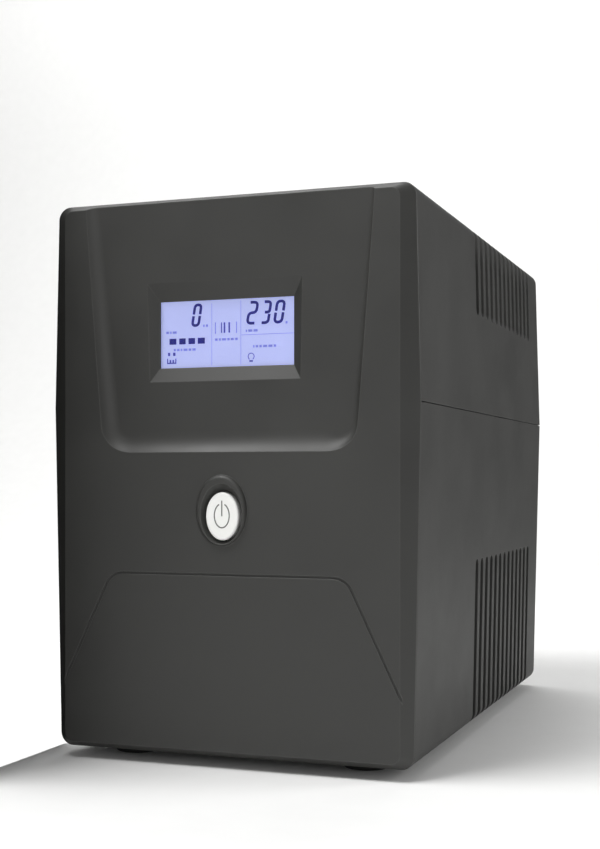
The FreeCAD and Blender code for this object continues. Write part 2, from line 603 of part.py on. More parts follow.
def batteries():
    width, _, height = BATTERY
    for name, x in battery_places():
        z, seam = BATTERY_Z0 + height / 2, BATTERY_BACK - 8
        case = slab_y(x, z, width, height, 2.0, BATTERY_Y0, seam)
        lid = slab_y(x, z, width - 0.8, height - 0.8, 2.0, seam, BATTERY_BACK)
        vent = slab_y(x, z - 6, 34, 116, 2.0, BATTERY_BACK - 0.8, BATTERY_BACK + 1)
        well = (15.0, 15.0, 2.0, BATTERY_BACK - 3.5, BATTERY_BACK + 1)
        wells = [slab_y(x + s * TAB_X, TAB_Z, *well) for s in (-1, 1)]
        save(name, cut(fuse(case, lid), vent, *wells))
    tabs = []
    for _, x in battery_places():
        for s in (-1, 1):
            cx = x + s * TAB_X
            base = box(cx - 3.2, cx + 3.2, BATTERY_BACK - 3.49, BATTERY_BACK - 2.6, TAB_Z - 5, TAB_Z + 4)
            blade = box(cx - 3.2, cx + 3.2, BATTERY_BACK - 2.6, BATTERY_BACK + 5.0, TAB_Z - 0.4, TAB_Z + 0.4)
            tabs.append(fuse(base, blade))
    save("battery_terminals", *tabs)
    top = BATTERY_Z0 + BATTERY[2]
    front_pad = box(-60, 60, BATTERY_Y0 - 2.15, BATTERY_Y0 - 0.05, 12, 56)
    low, high = top + 0.05, TRAY_Z - 0.05
    top_pads = [box(x - 26, x + 26, BATTERY_Y0 + 8, BATTERY_BACK - 12, low, high) for x in (-33, 33)]
    save("foam_pads", front_pad, *top_pads)


BOARD_TOP = MAIN_Z + BOARD_T


def boot(x):
    """Insulated spade receptacle pushed on to a battery tab."""
    body = slab_y(x, TAB_Z, 8.4, 4.6, 1.0, BATTERY_BACK - 1.6, BATTERY_BACK + 12.0)
    return body.cut(box(x - 3.5, x + 3.5, BATTERY_BACK - 3, BATTERY_BACK + 5.4, TAB_Z - 0.6, TAB_Z + 0.6))


def battery_leads():
    (_, left), (_, right) = battery_places()
    inner_left, inner_right = left + TAB_X, right - TAB_X
    outer_left, outer_right = left - TAB_X, right + TAB_X
    save("lead_boots", *[boot(x) for x in (outer_left, inner_left, inner_right, outer_right)])
    y0 = BATTERY_BACK + 12.02
    link = [(inner_left, y0), (inner_left, y0 + 8), (inner_right, y0 + 8), (inner_right, y0)]
    leads = [lead([V(x, y, TAB_Z) for x, y in link], 5.5, LEAD_R)]
    rise, loop = TAB_Z + 10, BOARD_TOP + 10
    for x, slot_x in ((outer_right, 8.0), (outer_left, -8.0)):
        run = [
            V(x, y0, TAB_Z),
            V(x, y0 + 10, TAB_Z),
            V(x, y0 + 12, rise),
            V(slot_x, LEAD_SLOT_Y, rise),
            V(slot_x, LEAD_SLOT_Y, loop),
            V(slot_x, LEAD_SLOT_Y + 12, loop),
            V(slot_x, LEAD_SLOT_Y + 12, BOARD_TOP + 0.02),
        ]
        leads.append(lead(run, 4.4, LEAD_R))
    save("battery_leads", *leads)


LEAD_SLOT_Y = 24.0
LEAD_R, THIN_LEAD_R = 1.9, 1.3
RISER_Y = 85.8           # where the transformer and mains leads climb to the board
BLOCK_Y = 74.0           # rear face of the terminal block
TERMINAL_Z = BOARD_TOP + 4.5


def riser_lead(x, y, z):
    """A thin lead from (x, y, z) to the column of leads and up to the terminal block."""
    corners = [V(x, y, z), V(x, RISER_Y, z), V(x, RISER_Y, TERMINAL_Z), V(x, BLOCK_Y + 0.02, TERMINAL_Z)]
    return lead(corners, 4.0, THIN_LEAD_R)


# ---- transformer ----------------------------------------------------------------------------
CORE_Z0 = Z_FLOOR + 0.2
CORE_Z1 = CORE_Z0 + CORE_H
WINDOW_W = CORE_W / 6
WINDOW_H = CORE_H - 2 * WINDOW_W


def transformer():
    y0, y1 = CORE_Y - CORE_STACK / 2, CORE_Y + CORE_STACK / 2
    core = box(-CORE_W / 2, CORE_W / 2, y0, y1, CORE_Z0, CORE_Z1)
    low, high = CORE_Z0 + WINDOW_W, CORE_Z1 - WINDOW_W
    windows = [box(*across(s, WINDOW_W, 2 * WINDOW_W), y0 - 1, y1 + 1, low, high) for s in (-1, 1)]
    save("transformer_core", cut(core, *windows))
    hole = box(-16.2, 16.2, y0 - 0.2, y1 + 0.2, low - 5, high + 5)
    flange_w, flange_d = 62.6, COIL_DEPTH
    tube = box(-17.4, 17.4, y0 - 1.4, y1 + 1.4, low + 0.3, high - 0.3)
    flanges = [slab_z(0, CORE_Y, flange_w, flange_d, 3.0, z, z + 1.8) for z in (low + 0.3, high - 2.1)]
    save("transformer_bobbin", fuse(tube, *flanges).cut(hole))
    coil_z0, coil_z1 = low + 2.2, high - 2.2
    coil = slab_z(0, CORE_Y, flange_w - 2.4, flange_d - 2.4, 9.0, coil_z0, coil_z1)
    band = slab_z(0, CORE_Y, flange_w - 1.4, flange_d - 1.4, 9.5, CORE_Z0 + 30, CORE_Z0 + 50)
    bore = box(-17.5, 17.5, y0 - 1.5, y1 + 1.5, coil_z0 - 1, coil_z1 + 1)
    save("transformer_winding", fuse(coil, band).cut(bore))
    strap_half, t = 10.0, 1.5
    side = CORE_W / 2 + 0.1
    strap_y0, strap_y1 = CORE_Y - strap_half, CORE_Y + strap_half
    strap = box(-side - t, side + t, strap_y0, strap_y1, Z_FLOOR + 0.1, CORE_Z1 + 0.1 + t)
    strap = strap.cut(box(-side, side, strap_y0 - 1, strap_y1 + 1, Z_FLOOR - 1, CORE_Z1 + 0.1))
    under = Z_FLOOR + 0.1
    feet = [slab_z(s * (side + 5.0), CORE_Y, 14.0, 2 * strap_half, 2.0, under, under + t) for s in (-1, 1)]
    core_space = box(-side, side, -200, 200, 0, 50)
    holes = [rod_z(s * BRACKET_SCREW_X, CORE_Y, 2.0, Z_FLOOR - 1, Z_FLOOR + 5) for s in (-1, 1)]
    save("transformer_strap", cut(fuse(strap, *[foot.cut(core_space) for foot in feet]), *holes))
    back = CORE_Y + COIL_DEPTH / 2 - 1.15
    save("transformer_leads", *[riser_lead(x, back, CORE_Z1 - 22) for x in (-20.0, -12.0, -4.0, 4.0)])


# ---- inverter board -------------------------------------------------------------------------
BOARD_X, BOARD_Y0, BOARD_Y1 = 56.0, -93.0, 76.0
STANDOFFS = both_sides(((51.0, -86.0), (51.0, -8.0), (51.0, 69.0)))
TRAY_HALF, TRAY_BACK = 64.5, 82.0


def board_tray():
    top = TRAY_Z + TRAY_T
    middle_y, depth = (BATTERY_Y0 + TRAY_BACK) / 2, TRAY_BACK - BATTERY_Y0
    tray = slab_z(0, middle_y, 2 * TRAY_HALF, depth, 3.0, TRAY_Z, top)
    lips = [box(*across(s, TRAY_HALF - TRAY_T, TRAY_HALF), -90, 74, TRAY_Z, TRAY_Z + 5) for s in (-1, 1)]
    lead_slot = slab_z(0, LEAD_SLOT_Y, 30, 12, 5.0, TRAY_Z - 2, TRAY_Z + 4)
    holes = [rod_z(x, y, 1.9, TRAY_Z - 2, TRAY_Z + 3) for x, y in post_places()]
    stand_holes = [rod_z(x, y, 1.2, TRAY_Z - 2, TRAY_Z + 3) for x, y in STANDOFFS]
    save("board_tray", cut(fuse(tray, *lips), lead_slot, *holes, *stand_holes))
    head_t = 1.8
    screws = [screw_z(x, y, 3.0, 1.25, top + 0.02 + head_t, head_t, 6.0, -1) for x, y in post_places()]
    for s in (-1, 1):
        screws.append(screw_z(s * BRACKET_SCREW_X, CORE_Y, 3.0, 1.25, Z_FLOOR + 1.62 + head_t, head_t, 3.2, -1))
    save("chassis_screws", *screws)
    posts = []
    for x, y in STANDOFFS:
        pillar = rod_z(x, y, 2.5, top + 0.01, MAIN_Z - 0.01)
        peg = rod_z(x, y, 1.1, TRAY_Z + 0.05, top + 1)
        posts.append(fuse(pillar, peg))
    save("board_standoffs", *posts)


BOARD_PARTS_Z = BOARD_TOP + 0.01
SINK_X, SINK_Y0, SINK_Y1, SINK_H = 40.0, -70.0, 10.0, 31.0
FIN_LEVELS = (4.0, 10.0, 16.0, 22.0, 28.0)
CANS = ((-14, -72, 9, 30), (10, -72, 9, 30), (-20, -46, 6.5, 22), (30, 54, 5, 16), (30, 42, 5, 16))
RELAYS = ((-34, 30), (-34, 48), (-34, 66), (-10, 48.5))


def main_board():
    middle_y = (BOARD_Y0 + BOARD_Y1) / 2
    board = slab_z(0, middle_y, 2 * BOARD_X, BOARD_Y1 - BOARD_Y0, 2.0, MAIN_Z, BOARD_TOP)
    save("main_board", board.cut(slab_z(0, LEAD_SLOT_Y, 24, 8, 3.0, MAIN_Z - 2, MAIN_Z + 4)))
    save("heat_sinks", *[heat_sink(side) for side in (-1, 1)])
    save("power_transistors", *[transistor(side, -60 + 20.0 * i) for side in (-1, 1) for i in range(4)])
    save("electrolytic_capacitors", *[capacitor(*can) for can in CANS])
    save("relays", *[moulded_box(x, y, 19, 15, 15.5, 0.6) for x, y in RELAYS])
    save("film_capacitors", *[moulded_box(x, y, 26, 10, 18, 0.8) for x, y in ((8, -48), (40, 30))])
    save("blade_fuses", *[blade_fuse(x) for x in (-6.5, 6.5)])
    chips = [chip(0, 2, 16, 8, 4), chip(26, 10, 12, 12, 2), chip(-23, 1, 6, 10, 2)]
    save("control_chips", sounder(47, 17.5), *chips)
    display_plug = slab_y(0, 99, 20, 5.5, 0.3, BOARD_Y + BOARD_T + 0.01, BOARD_Y + BOARD_T + 3.4)
    terminals = moulded_box(11.5, BLOCK_Y - 6, 69, 12, 10, 0.6)
    save("board_connectors", terminals, header(47, 44, 12), header(0, -88, 20), display_plug)


def chip(x, y, width, depth, height):
    z = BOARD_PARTS_Z
    return box(x - width / 2, x + width / 2, y - depth / 2, y + depth / 2, z, z + height)


def moulded_box(x, y, width, depth, height, radius):
    """A plain part on the board with all its upper edges rounded."""
    return fillet(chip(x, y, width, depth, height), radius, lambda e: middle(e).z > BOARD_PARTS_Z + 1)


def heat_sink(side):
    z = BOARD_PARTS_Z
    blade = box(*across(side, SINK_X, SINK_X + 3), SINK_Y0, SINK_Y1, z, z + SINK_H)
    fins = []
    for level in FIN_LEVELS:
        fins.append(box(*across(side, SINK_X + 3, SINK_X + 14), SINK_Y0, SINK_Y1, z + level, z + level + 1.4))
    return fuse(blade, *fins)


def transistor(side, y):
    """A power transistor whose tab is clamped to the inner face of a heat sink."""
    z = BOARD_PARTS_Z
    tab = box(*across(side, SINK_X - 1.4, SINK_X - 0.05), y - 5, y + 5, z + 6, z + 21)
    body = box(*across(side, SINK_X - 4.6, SINK_X - 1.4), y - 5, y + 5, z + 6, z + 15)
    leg_x = across(side, SINK_X - 2.8, SINK_X - 2.0)
    legs = [box(*leg_x, y + d - 0.5, y + d + 0.5, z, z + 6) for d in (-2.5, 0, 2.5)]
    return fuse(tab, body, *legs)


def capacitor(x, y, radius, height):
    """A can with a rounded rim and a scored cross on top."""
    top = BOARD_PARTS_Z + height
    can = rod_z(x, y, radius, BOARD_PARTS_Z, top)
    can = fillet(can, 0.8, lambda e: abs(middle(e).z - top) < 0.01 and len(e.Vertexes) == 1)
    arm, thin = radius * 0.6, 0.2
    level = box(x - arm, x + arm, y - thin, y + thin, top - 0.4, top + 1)
    upright = box(x - thin, x + thin, y - arm, y + arm, top - 0.4, top + 1)
    return can.cut(fuse(level, upright))


def blade_fuse(x):
    z = BOARD_PARTS_Z
    holder = box(x - 4, x + 4, -30, -8, z, z + 6)
    blade = fillet(box(x - 2.5, x + 2.5, -28.5, -9.5, z + 6, z + 14), 0.5, lambda e: middle(e).z > z + 7)
    return fuse(holder, blade)


def sounder(x, y):
    z = BOARD_PARTS_Z
    return rod_z(x, y, 6.0, z, z + 9.5).cut(rod_z(x, y, 1.0, z + 7, z + 12))


def header(x, y, width):
    """An open-topped connector shell."""
    z = BOARD_PARTS_Z
    inner = box(x - width / 2 + 1, x + width / 2 - 1, y - 2, y + 2, z + 3, z + 10)
    return chip(x, y, width, 6, 9).cut(inner)


# ---- rear panel and its fittings ------------------------------------------------------------
FAN_HOLE_R = 28.0
FAN_SCREW = 25.0
INLET_FLANGE, INLET_BODY = (50.0, 23.0), (28.0, 19.6)
INLET_SCREW = 20.0       # from the middle of the inlet to each of its screws
DRAIN_Z = 15.2           # row of small air slots along the foot of the panel
OUTLET_BODY_R = OUTLET_R + 2.2
OUTLET_FLANGE = 47.0


def outlet_places():
    return [(sx * OUTLET_X, z) for z in OUTLET_ROWS for sx in (-1, 1)]


def inlet_outline(grow, y0, y1):
    """The keyed outline of an appliance inlet: a rectangle with two bevelled upper corners."""
    w, h, bevel = 12.4 + grow, 8.1 + grow, 5.6
    x, z = INLET_X, INLET_Z
    right = [(x + w, z - h), (x + w, z + h - bevel), (x + w - bevel, z + h)]
    left = [(x - w + bevel, z + h), (x - w, z + h - bevel), (x - w, z - h)]
    corners = right + left
    return plate_y(corners, [1.0] * 6, y0, y1)


def fan_corners():
    return [(FAN_X + sx * FAN_SCREW, FAN_Z + sz * FAN_SCREW) for sx in (-1, 1) for sz in (-1, 1)]


def inlet_screw_places():
    return [(INLET_X + s * INLET_SCREW, INLET_Z) for s in (-1, 1)]


def rear_panel():
    x_half, z0, z1 = 65.6, Z_BOTTOM + 5.5, Z_TOP - 5.5
    plate = slab_y(0, (z0 + z1) / 2, 2 * x_half, z1 - z0, 3.0, PANEL_IN, PANEL_OUT)
    deep = (PANEL_IN - 2, PANEL_OUT + 2)
    tools = [rod_y(x, z, OUTLET_BODY_R + 0.2, *deep) for x, z in outlet_places()]
    tools += [rod_y(x, z, 2.3, *deep) for x, z in fan_corners()]
    tools += [rod_y(x, z, 1.5, *deep) for x, z in inlet_screw_places()]
    tools += [slab_y(x, DRAIN_Z, 6.0, 2.2, 1.0, *deep) for x in range(-48, 49, 12)]
    tools.append(rod_y(FAN_X, FAN_Z, FAN_HOLE_R, *deep))
    tools.append(slab_y(INLET_X, INLET_Z, INLET_BODY[0] + 0.4, INLET_BODY[1] + 0.4, 1.0, *deep))
    tools.append(rod_y(BREAKER_X, BREAKER_Z, 6.2, *deep))
    tools.append(slab_y(JACK_X, JACK_Z, 30.4, 14.4, 0.5, *deep))
    tools.append(slab_y(USB_X, USB_Z, 12.6, 11.6, 0.4, *deep))
    save("rear_panel", cut(plate, *tools))


OUTLET_NAMES = ("outlet_lower_left", "outlet_lower_right", "outlet_upper_left", "outlet_upper_right")
OUTLET_FACE = PANEL_OUT + 1.8
OUTLET_FLOOR = OUTLET_FACE - OUTLET_DEPTH
CLIP_HALF_W, CLIP_HALF_T = 3.0, 0.35


def outlet(x, z):
    """An earthed round recess with two pin holes, a seat for each earth clip and a guide on each side."""
    flange = slab_y(x, z, OUTLET_FLANGE, OUTLET_FLANGE, 4.0, PANEL_OUT + 0.02, OUTLET_FACE)
    body = rod_y(x, z, OUTLET_BODY_R, OUTLET_FLOOR - 9, PANEL_OUT + 0.5)
    shape = fillet(fuse(flange, body), 0.7, lambda e: abs(middle(e).y - OUTLET_FACE) < 0.01)
    tools = [rod_y(x, z, OUTLET_R, OUTLET_FLOOR, OUTLET_FACE + 1)]
    guides = []
    for s in (-1, 1):
        seat_z = z + s * (OUTLET_R - 0.4)
        side_x = x + s * OUTLET_R
        tools.append(rod_y(x + s * 9.5, z, 2.7, OUTLET_FLOOR - 8, OUTLET_FLOOR + 1))
        tools.append(box(x - 3.4, x + 3.4, OUTLET_FLOOR - 6, OUTLET_FACE - 2.5, seat_z - 0.9, seat_z + 0.9))
        guides.append(box(side_x - 2.6, side_x + 2.6, OUTLET_FLOOR - 0.5, OUTLET_FACE - 1.5, z - 2.4, z + 2.4))
    within = rod_y(x, z, OUTLET_R + 1, OUTLET_FLOOR - 1, OUTLET_FACE)
    return fuse(cut(shape, *tools), *[guide.common(within) for guide in guides])


def earth_clip(x, z, side):
    """A spring strip along the wall of the recess, with a nose that presses on the plug's contact."""
    strip_z = z + side * (OUTLET_R - 0.35)
    back, front = OUTLET_FLOOR - 5.5, OUTLET_FACE - 3
    w, t = CLIP_HALF_W, CLIP_HALF_T
    spring = box(x - w, x + w, back, front, strip_z - t, strip_z + t)
    nose = rod_x(OUTLET_FACE - 7.5, strip_z - side * 0.4, 1.3, x - 2.6, x + 2.6)
    inner = sorted((strip_z + side * t, strip_z - side * 3))
    keep = box(x - 4, x + 4, OUTLET_FLOOR - 6, OUTLET_FACE, *inner)
    return fuse(spring, nose.common(keep))


def outlets():
    for name, (x, z) in zip(OUTLET_NAMES, outlet_places()):
        save(name, outlet(x, z))
    save("outlet_earth_clips", *[earth_clip(x, z, side) for x, z in outlet_places() for side in (-1, 1)])


PIN_BACK = PANEL_OUT - 24.0   # where the mains wiring meets the pins


def inlet():
    face = PANEL_OUT + 2.4
    flange = slab_y(INLET_X, INLET_Z, *INLET_FLANGE, 4.0, PANEL_OUT + 0.02, face)
    body = slab_y(INLET_X, INLET_Z, *INLET_BODY, 0.8, PANEL_OUT - 19, PANEL_OUT + 0.5)
    cavity = inlet_outline(0, face - 16.5, face + 1)
    holes = [rod_y(x, z, 1.6, PANEL_OUT - 1, face + 1) for x, z in inlet_screw_places()]
    slots = [box(x - 1.3, x + 1.3, PANEL_OUT - 26, face - 16, z - 2.3, z + 2.3) for x, z in inlet_pin_places()]
    save("mains_inlet", cut(fuse(flange, body), cavity, *holes, *slots))
    tip = face - 3.5
    pins = []
    for x, z in inlet_pin_places():
        pin = box(x - 1.0, x + 1.0, PIN_BACK, tip, z - 2.0, z + 2.0)
        pins.append(fillet(pin, 0.6, lambda e: abs(middle(e).y - tip) < 0.01))
    save("inlet_pins", *pins)
    screws = [screw_y(x, z, 2.7, 1.35, face + 1.62, 1.6, 8, -1) for x, z in inlet_screw_places()]
    save("inlet_screws", *screws)


def inlet_pin_places():
    return [(INLET_X - 7.0, INLET_Z - 1.5), (INLET_X + 7.0, INLET_Z - 1.5), (INLET_X, INLET_Z + 2.5)]


NUT_R = 9.2              # across the nut's corners, halved


def breaker():
    neck = rod_y(BREAKER_X, BREAKER_Z, 5.9, PANEL_IN - 0.5, PANEL_OUT + 4.2)
    body = slab_y(BREAKER_X, BREAKER_Z, 15.0, 24.0, 1.0, PANEL_IN - 26, PANEL_IN - 0.02)
    bore = rod_y(BREAKER_X, BREAKER_Z, 3.8, PANEL_IN - 14, PANEL_OUT + 6)
    save("circuit_breaker", fuse(neck, body).cut(bore))
    turns = [math.radians(60 * i) for i in range(6)]
    hexagon = [(BREAKER_X + NUT_R * math.cos(a), BREAKER_Z + NUT_R * math.sin(a)) for a in turns]
    nut = plate_y(hexagon, [0.8] * 6, PANEL_OUT + 0.02, PANEL_OUT + 3.0)
    save("breaker_nut", nut.cut(rod_y(BREAKER_X, BREAKER_Z, 6.0, PANEL_OUT - 1, PANEL_OUT + 5)))
    cap = rod_y(BREAKER_X, BREAKER_Z, 3.7, PANEL_IN - 8, Y_REAR + BREAKER_PROUD)
    cap = fillet(cap, 0.8, lambda e: middle(e).y > Y_REAR and len(e.Vertexes) == 1)
    save("breaker_reset_button", cap)


PORT_FACE = PANEL_OUT + 0.8
JACK_OFFSET = 7.5        # of each network jack from the middle of the block
CONTACT_PITCH = 1.27


def data_ports():
    block = slab_y(JACK_X, JACK_Z, 30.0, 14.0, 0.6, PORT_FACE - 16, PORT_FACE)
    tools, contacts = [], []
    for x in (JACK_X - JACK_OFFSET, JACK_X + JACK_OFFSET):
        tools.append(box(x - 5.9, x + 5.9, PORT_FACE - 13, PORT_FACE + 1, JACK_Z - 4.6, JACK_Z + 3.2))
        tools.append(box(x - 3.2, x + 3.2, PORT_FACE - 8, PORT_FACE + 1, JACK_Z - 6.0, JACK_Z - 4.5))
        for i in range(8):
            cx = x + (i - 3.5) * CONTACT_PITCH
            y_range = (PORT_FACE - 12.5, PORT_FACE - 4)
            contacts.append(box(cx - 0.25, cx + 0.25, *y_range, JACK_Z + 2.2, JACK_Z + 3.15))
    save("data_line_jacks", cut(block, *tools))
    save("jack_contacts", *contacts)
    shell = slab_y(USB_X, USB_Z, 12.0, 11.0, 0.6, PORT_FACE - 16, PORT_FACE)
    save("usb_port", shell.cut(slab_y(USB_X, USB_Z, 10.6, 9.6, 0.4, PORT_FACE - 15, PORT_FACE + 1)))
    base = slab_y(USB_X, USB_Z, 10.4, 9.4, 0.3, PORT_FACE - 14.9, PORT_FACE - 12)
    tongue = slab_y(USB_X, USB_Z, 5.6, 3.2, 0.3, PORT_FACE - 12.5, PORT_FACE - 1.2)
    save("usb_tongue", fuse(base, tongue))


FAN_BACK, FAN_FACE = PANEL_IN - FAN_T - 0.02, PANEL_IN - 0.02
HUB_R, BLADE_COUNT, BLADE_PITCH_DEG = 12.0, 7, 38
GUARD_R = 0.9


def fan():
    y0, y1 = FAN_BACK, FAN_FACE
    half = FAN_SIZE / 2
    frame = slab_y(FAN_X, FAN_Z, FAN_SIZE, FAN_SIZE, 3.5, y0, y1)
    frame = cut(frame, rod_y(FAN_X, FAN_Z, half - 1.6, y0 - 1, y1 + 1))
    frame = cut(frame, *[rod_y(x, z, 2.2, y0 - 1, y1 + 1) for x, z in fan_corners()])
    hub = rod_y(FAN_X, FAN_Z, HUB_R + 0.5, y0, y0 + 2.5)
    arm = box(FAN_X + 10, FAN_X + half - 0.8, y0, y0 + 2.2, FAN_Z - 1.6, FAN_Z + 1.6)
    arms = [turned(arm, V(0, 1, 0), angle, V(FAN_X, 0, FAN_Z)) for angle in (45, 135, 225, 315)]
    post = rod_y(FAN_X, FAN_Z, 3.0, y0 + 1, y0 + 9.0)
    save("fan_frame", fuse(frame, hub, *arms, post).cut(rod_y(FAN_X, FAN_Z, 1.06, y0 + 3, y1)))
    save("fan_rotor", fan_rotor())
    head_y = PANEL_OUT + 2 * GUARD_R + 2.1
    save("fan_screws", *[screw_y(x, z, 3.2, 2.0, head_y, 2.0, 17, -1) for x, z in fan_corners()])


def fan_rotor():
    """A cup on an axle, with pitched blades whose ends follow the bore of the frame."""
    y0, y1 = FAN_BACK, FAN_FACE
    reach = FAN_SIZE / 2 - 2.4
    cup = rod_y(FAN_X, FAN_Z, HUB_R, y0 + 3.2, y1 - 1.0).cut(rod_y(FAN_X, FAN_Z, HUB_R - 1.2, y0 + 2, y1 - 2.4))
    cup = fillet(cup, 0.9, lambda e: middle(e).y > y1 - 1.1 and len(e.Vertexes) == 1)
    blade = box(HUB_R - 0.6, reach - 0.2, -6.6, 6.6, -0.7, 0.7)
    blade = turned(blade, V(1, 0, 0), BLADE_PITCH_DEG, V(0, 0, 0))
    blade.translate(V(FAN_X, (y0 + y1) / 2 + 0.8, FAN_Z))
    sweep = rod_y(FAN_X, FAN_Z, reach, y0 + 2.9, y1 - 0.8).cut(rod_y(FAN_X, FAN_Z, HUB_R - 1.1, y0, y1 + 1))
    step = 360 / BLADE_COUNT
    blades = [turned(blade, V(0, 1, 0), i * step, V(FAN_X, 0, FAN_Z)).common(sweep) for i in range(BLADE_COUNT)]
    axle = rod_y(FAN_X, FAN_Z, 1.0, y0 + 3.3, y1 - 1.5)
    return fuse(cup, axle, *blades)


def fan_guard():
    """Wire finger guard: rings joined by two diagonal bars that end in screw eyes."""
    y = PANEL_OUT + GUARD_R + 0.03
    centre, along = V(FAN_X, y + 2 * GUARD_R - 0.15, FAN_Z), V(0, 1, 0)
    wires = [Part.makeTorus(r, GUARD_R, centre, along) for r in (8.5, 14.5, 20.5, 26.5)]
    reach = FAN_SCREW * math.sqrt(2) - 3.4
    bar = rod_x(y, FAN_Z, GUARD_R, FAN_X - reach, FAN_X + reach)
    wires += [turned(bar, along, angle, V(FAN_X, 0, FAN_Z)) for angle in (45, 135)]
    wires += [Part.makeTorus(3.6, GUARD_R, V(x, y + 0.06, z), along) for x, z in fan_corners()]
    save("fan_guard", wires[0].multiFuse(wires[1:]))


def harness():
    """Mains wiring behind the rear panel, and the display ribbon."""
    save("inlet_leads", *[riser_lead(x, PIN_BACK - 0.02, z) for x, z in inlet_pin_places()])
    half, t = 8.0, 0.9
    ribbon_y = BOARD_Y + BOARD_T + 3.5
    over, into = MAIN_Z + 12.6, -88.45
    ribbon = fuse(
        box(-half, half, ribbon_y, ribbon_y + t, 97.0, over + t),
        box(-half, half, ribbon_y, into + t, over, over + t),
        box(-half, half, into, into + t, BOARD_TOP + 3.2, over + t),
    )
    save("display_ribbon", ribbon)


def case_screws():
    head_t = 2.55
    head_z = Z_PART - SEAM_GAP / 2 - SCREW_SEAT - head_t - 0.05
    save("case_screws", *[screw_z(x, y, 3.3, 1.6, head_z, head_t, 24, 1) for x, y in tower_places()])


def main():
    save("lower_shell", lower_shell())
    save("upper_cover", upper_cover())
    save("front_panel", front_panel())
    save("rubber_feet", *rubber_feet())
    case_screws()
    display_parts()
    power_button()
    batteries()
    battery_leads()
    transformer()
    board_tray()
    main_board()
    rear_panel()
    outlets()
    inlet()
    breaker()
    data_ports()
    fan()
    fan_guard()
    harness()


main()
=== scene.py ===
# %% [markdown]
# # A tower uninterruptible power supply
# This object keeps a computer running when the mains fails. Its shape is already made in CAD, so the
# work left is what makes it look real: moulded plastic with a fine texture, a lit liquid crystal
# display, a satin white button, plated screws, and the sockets at the back. The CAD model comes in
# as a fixed frame in metres, and every new piece rides on one of its bodies.

import math

import bmesh
import bpy
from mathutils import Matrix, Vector


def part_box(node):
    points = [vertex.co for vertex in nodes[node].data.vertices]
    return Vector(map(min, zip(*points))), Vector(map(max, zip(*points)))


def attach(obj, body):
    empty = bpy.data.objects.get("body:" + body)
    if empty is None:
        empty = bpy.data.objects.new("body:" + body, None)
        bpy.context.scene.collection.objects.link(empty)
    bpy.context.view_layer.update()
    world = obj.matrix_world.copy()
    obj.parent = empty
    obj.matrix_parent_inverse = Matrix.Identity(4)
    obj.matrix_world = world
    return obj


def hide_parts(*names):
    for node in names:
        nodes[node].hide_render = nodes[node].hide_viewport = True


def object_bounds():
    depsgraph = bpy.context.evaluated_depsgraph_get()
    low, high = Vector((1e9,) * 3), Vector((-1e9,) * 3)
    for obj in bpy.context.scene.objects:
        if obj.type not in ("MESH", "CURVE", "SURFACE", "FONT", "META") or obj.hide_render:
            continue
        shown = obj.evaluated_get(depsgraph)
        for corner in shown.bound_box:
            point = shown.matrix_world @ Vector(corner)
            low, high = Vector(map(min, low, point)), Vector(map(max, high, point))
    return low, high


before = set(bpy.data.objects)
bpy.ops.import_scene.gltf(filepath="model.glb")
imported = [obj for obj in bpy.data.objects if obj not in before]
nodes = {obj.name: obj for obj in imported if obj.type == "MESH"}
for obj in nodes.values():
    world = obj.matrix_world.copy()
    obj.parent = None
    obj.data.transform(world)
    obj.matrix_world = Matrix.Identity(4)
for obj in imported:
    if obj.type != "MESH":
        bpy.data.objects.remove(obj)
cad_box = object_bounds()
MM = 0.001
print(len(nodes), "nodes; the CAD box is", [[round(v, 4) for v in corner] for corner in cad_box])

# %% [markdown]
# ## Colours and shader nodes
# A colour is given as an sRGB hex value, but a shader works in linear light, so one function
# turns one into the other. A second small function adds any shader node, sets its properties and
# links its inputs. The short ones after it name the few nodes that every finish below is made of:
# a noise, a blend of two colours, a change of range, a rounded edge and a bump.

# %% Helpers for materials
EDGE_SAMPLES = 4
MIDDLE_OF_NOISE = (0.3, 0.7)  # a noise spends nearly all its time between these two values


def linear(code):
    """A hex colour such as "#444442" as linear RGBA."""
    parts = [int(code[i : i + 2], 16) / 255 for i in (1, 3, 5)]
    return [p / 12.92 if p <= 0.04045 else ((p + 0.055) / 1.055) ** 2.4 for p in parts] + [1.0]


def shaded(code, factor):
    """The same colour, made darker or lighter, and never over 1."""
    return [min(1, c * factor) for c in linear(code)[:3]] + [1]


def add(tree, kind, inputs=(), **settings):
    """Adds a shader node. inputs maps a socket's name or number to a value or another node's output."""
    node = tree.nodes.new(kind)
    for key, value in settings.items():
        setattr(node, key, value)
    for key, value in dict(inputs).items():
        if isinstance(value, bpy.types.NodeSocket):
            tree.links.new(value, node.inputs[key])
        else:
            node.inputs[key].default_value = value
    return node


def noise(tree, place, scale, detail, roughness=0.5):
    inputs = {"Vector": place, "Scale": scale, "Detail": detail, "Roughness": roughness}
    return add(tree, "ShaderNodeTexNoise", inputs).outputs["Fac"]


def blend(tree, factor, a, b):
    mix = add(tree, "ShaderNodeMix", {"Factor": factor, "A": a, "B": b}, data_type="RGBA")
    return mix.outputs["Result"]


def remap(tree, value, source, target):
    """Stretches a value from one range to another."""
    inputs = {"Value": value, 1: source[0], 2: source[1], 3: target[0], 4: target[1]}
    return add(tree, "ShaderNodeMapRange", inputs).outputs[0]


def rounded_edge(tree, radius_mm):
    bevel = add(tree, "ShaderNodeBevel", {"Radius": radius_mm * MM}, samples=EDGE_SAMPLES)
    return bevel.outputs["Normal"]


def bump(tree, height, strength, distance, normal=None):
    inputs = {"Height": height, "Strength": strength, "Distance": distance}
    if normal:
        inputs["Normal"] = normal
    return add(tree, "ShaderNodeBump", inputs).outputs["Normal"]


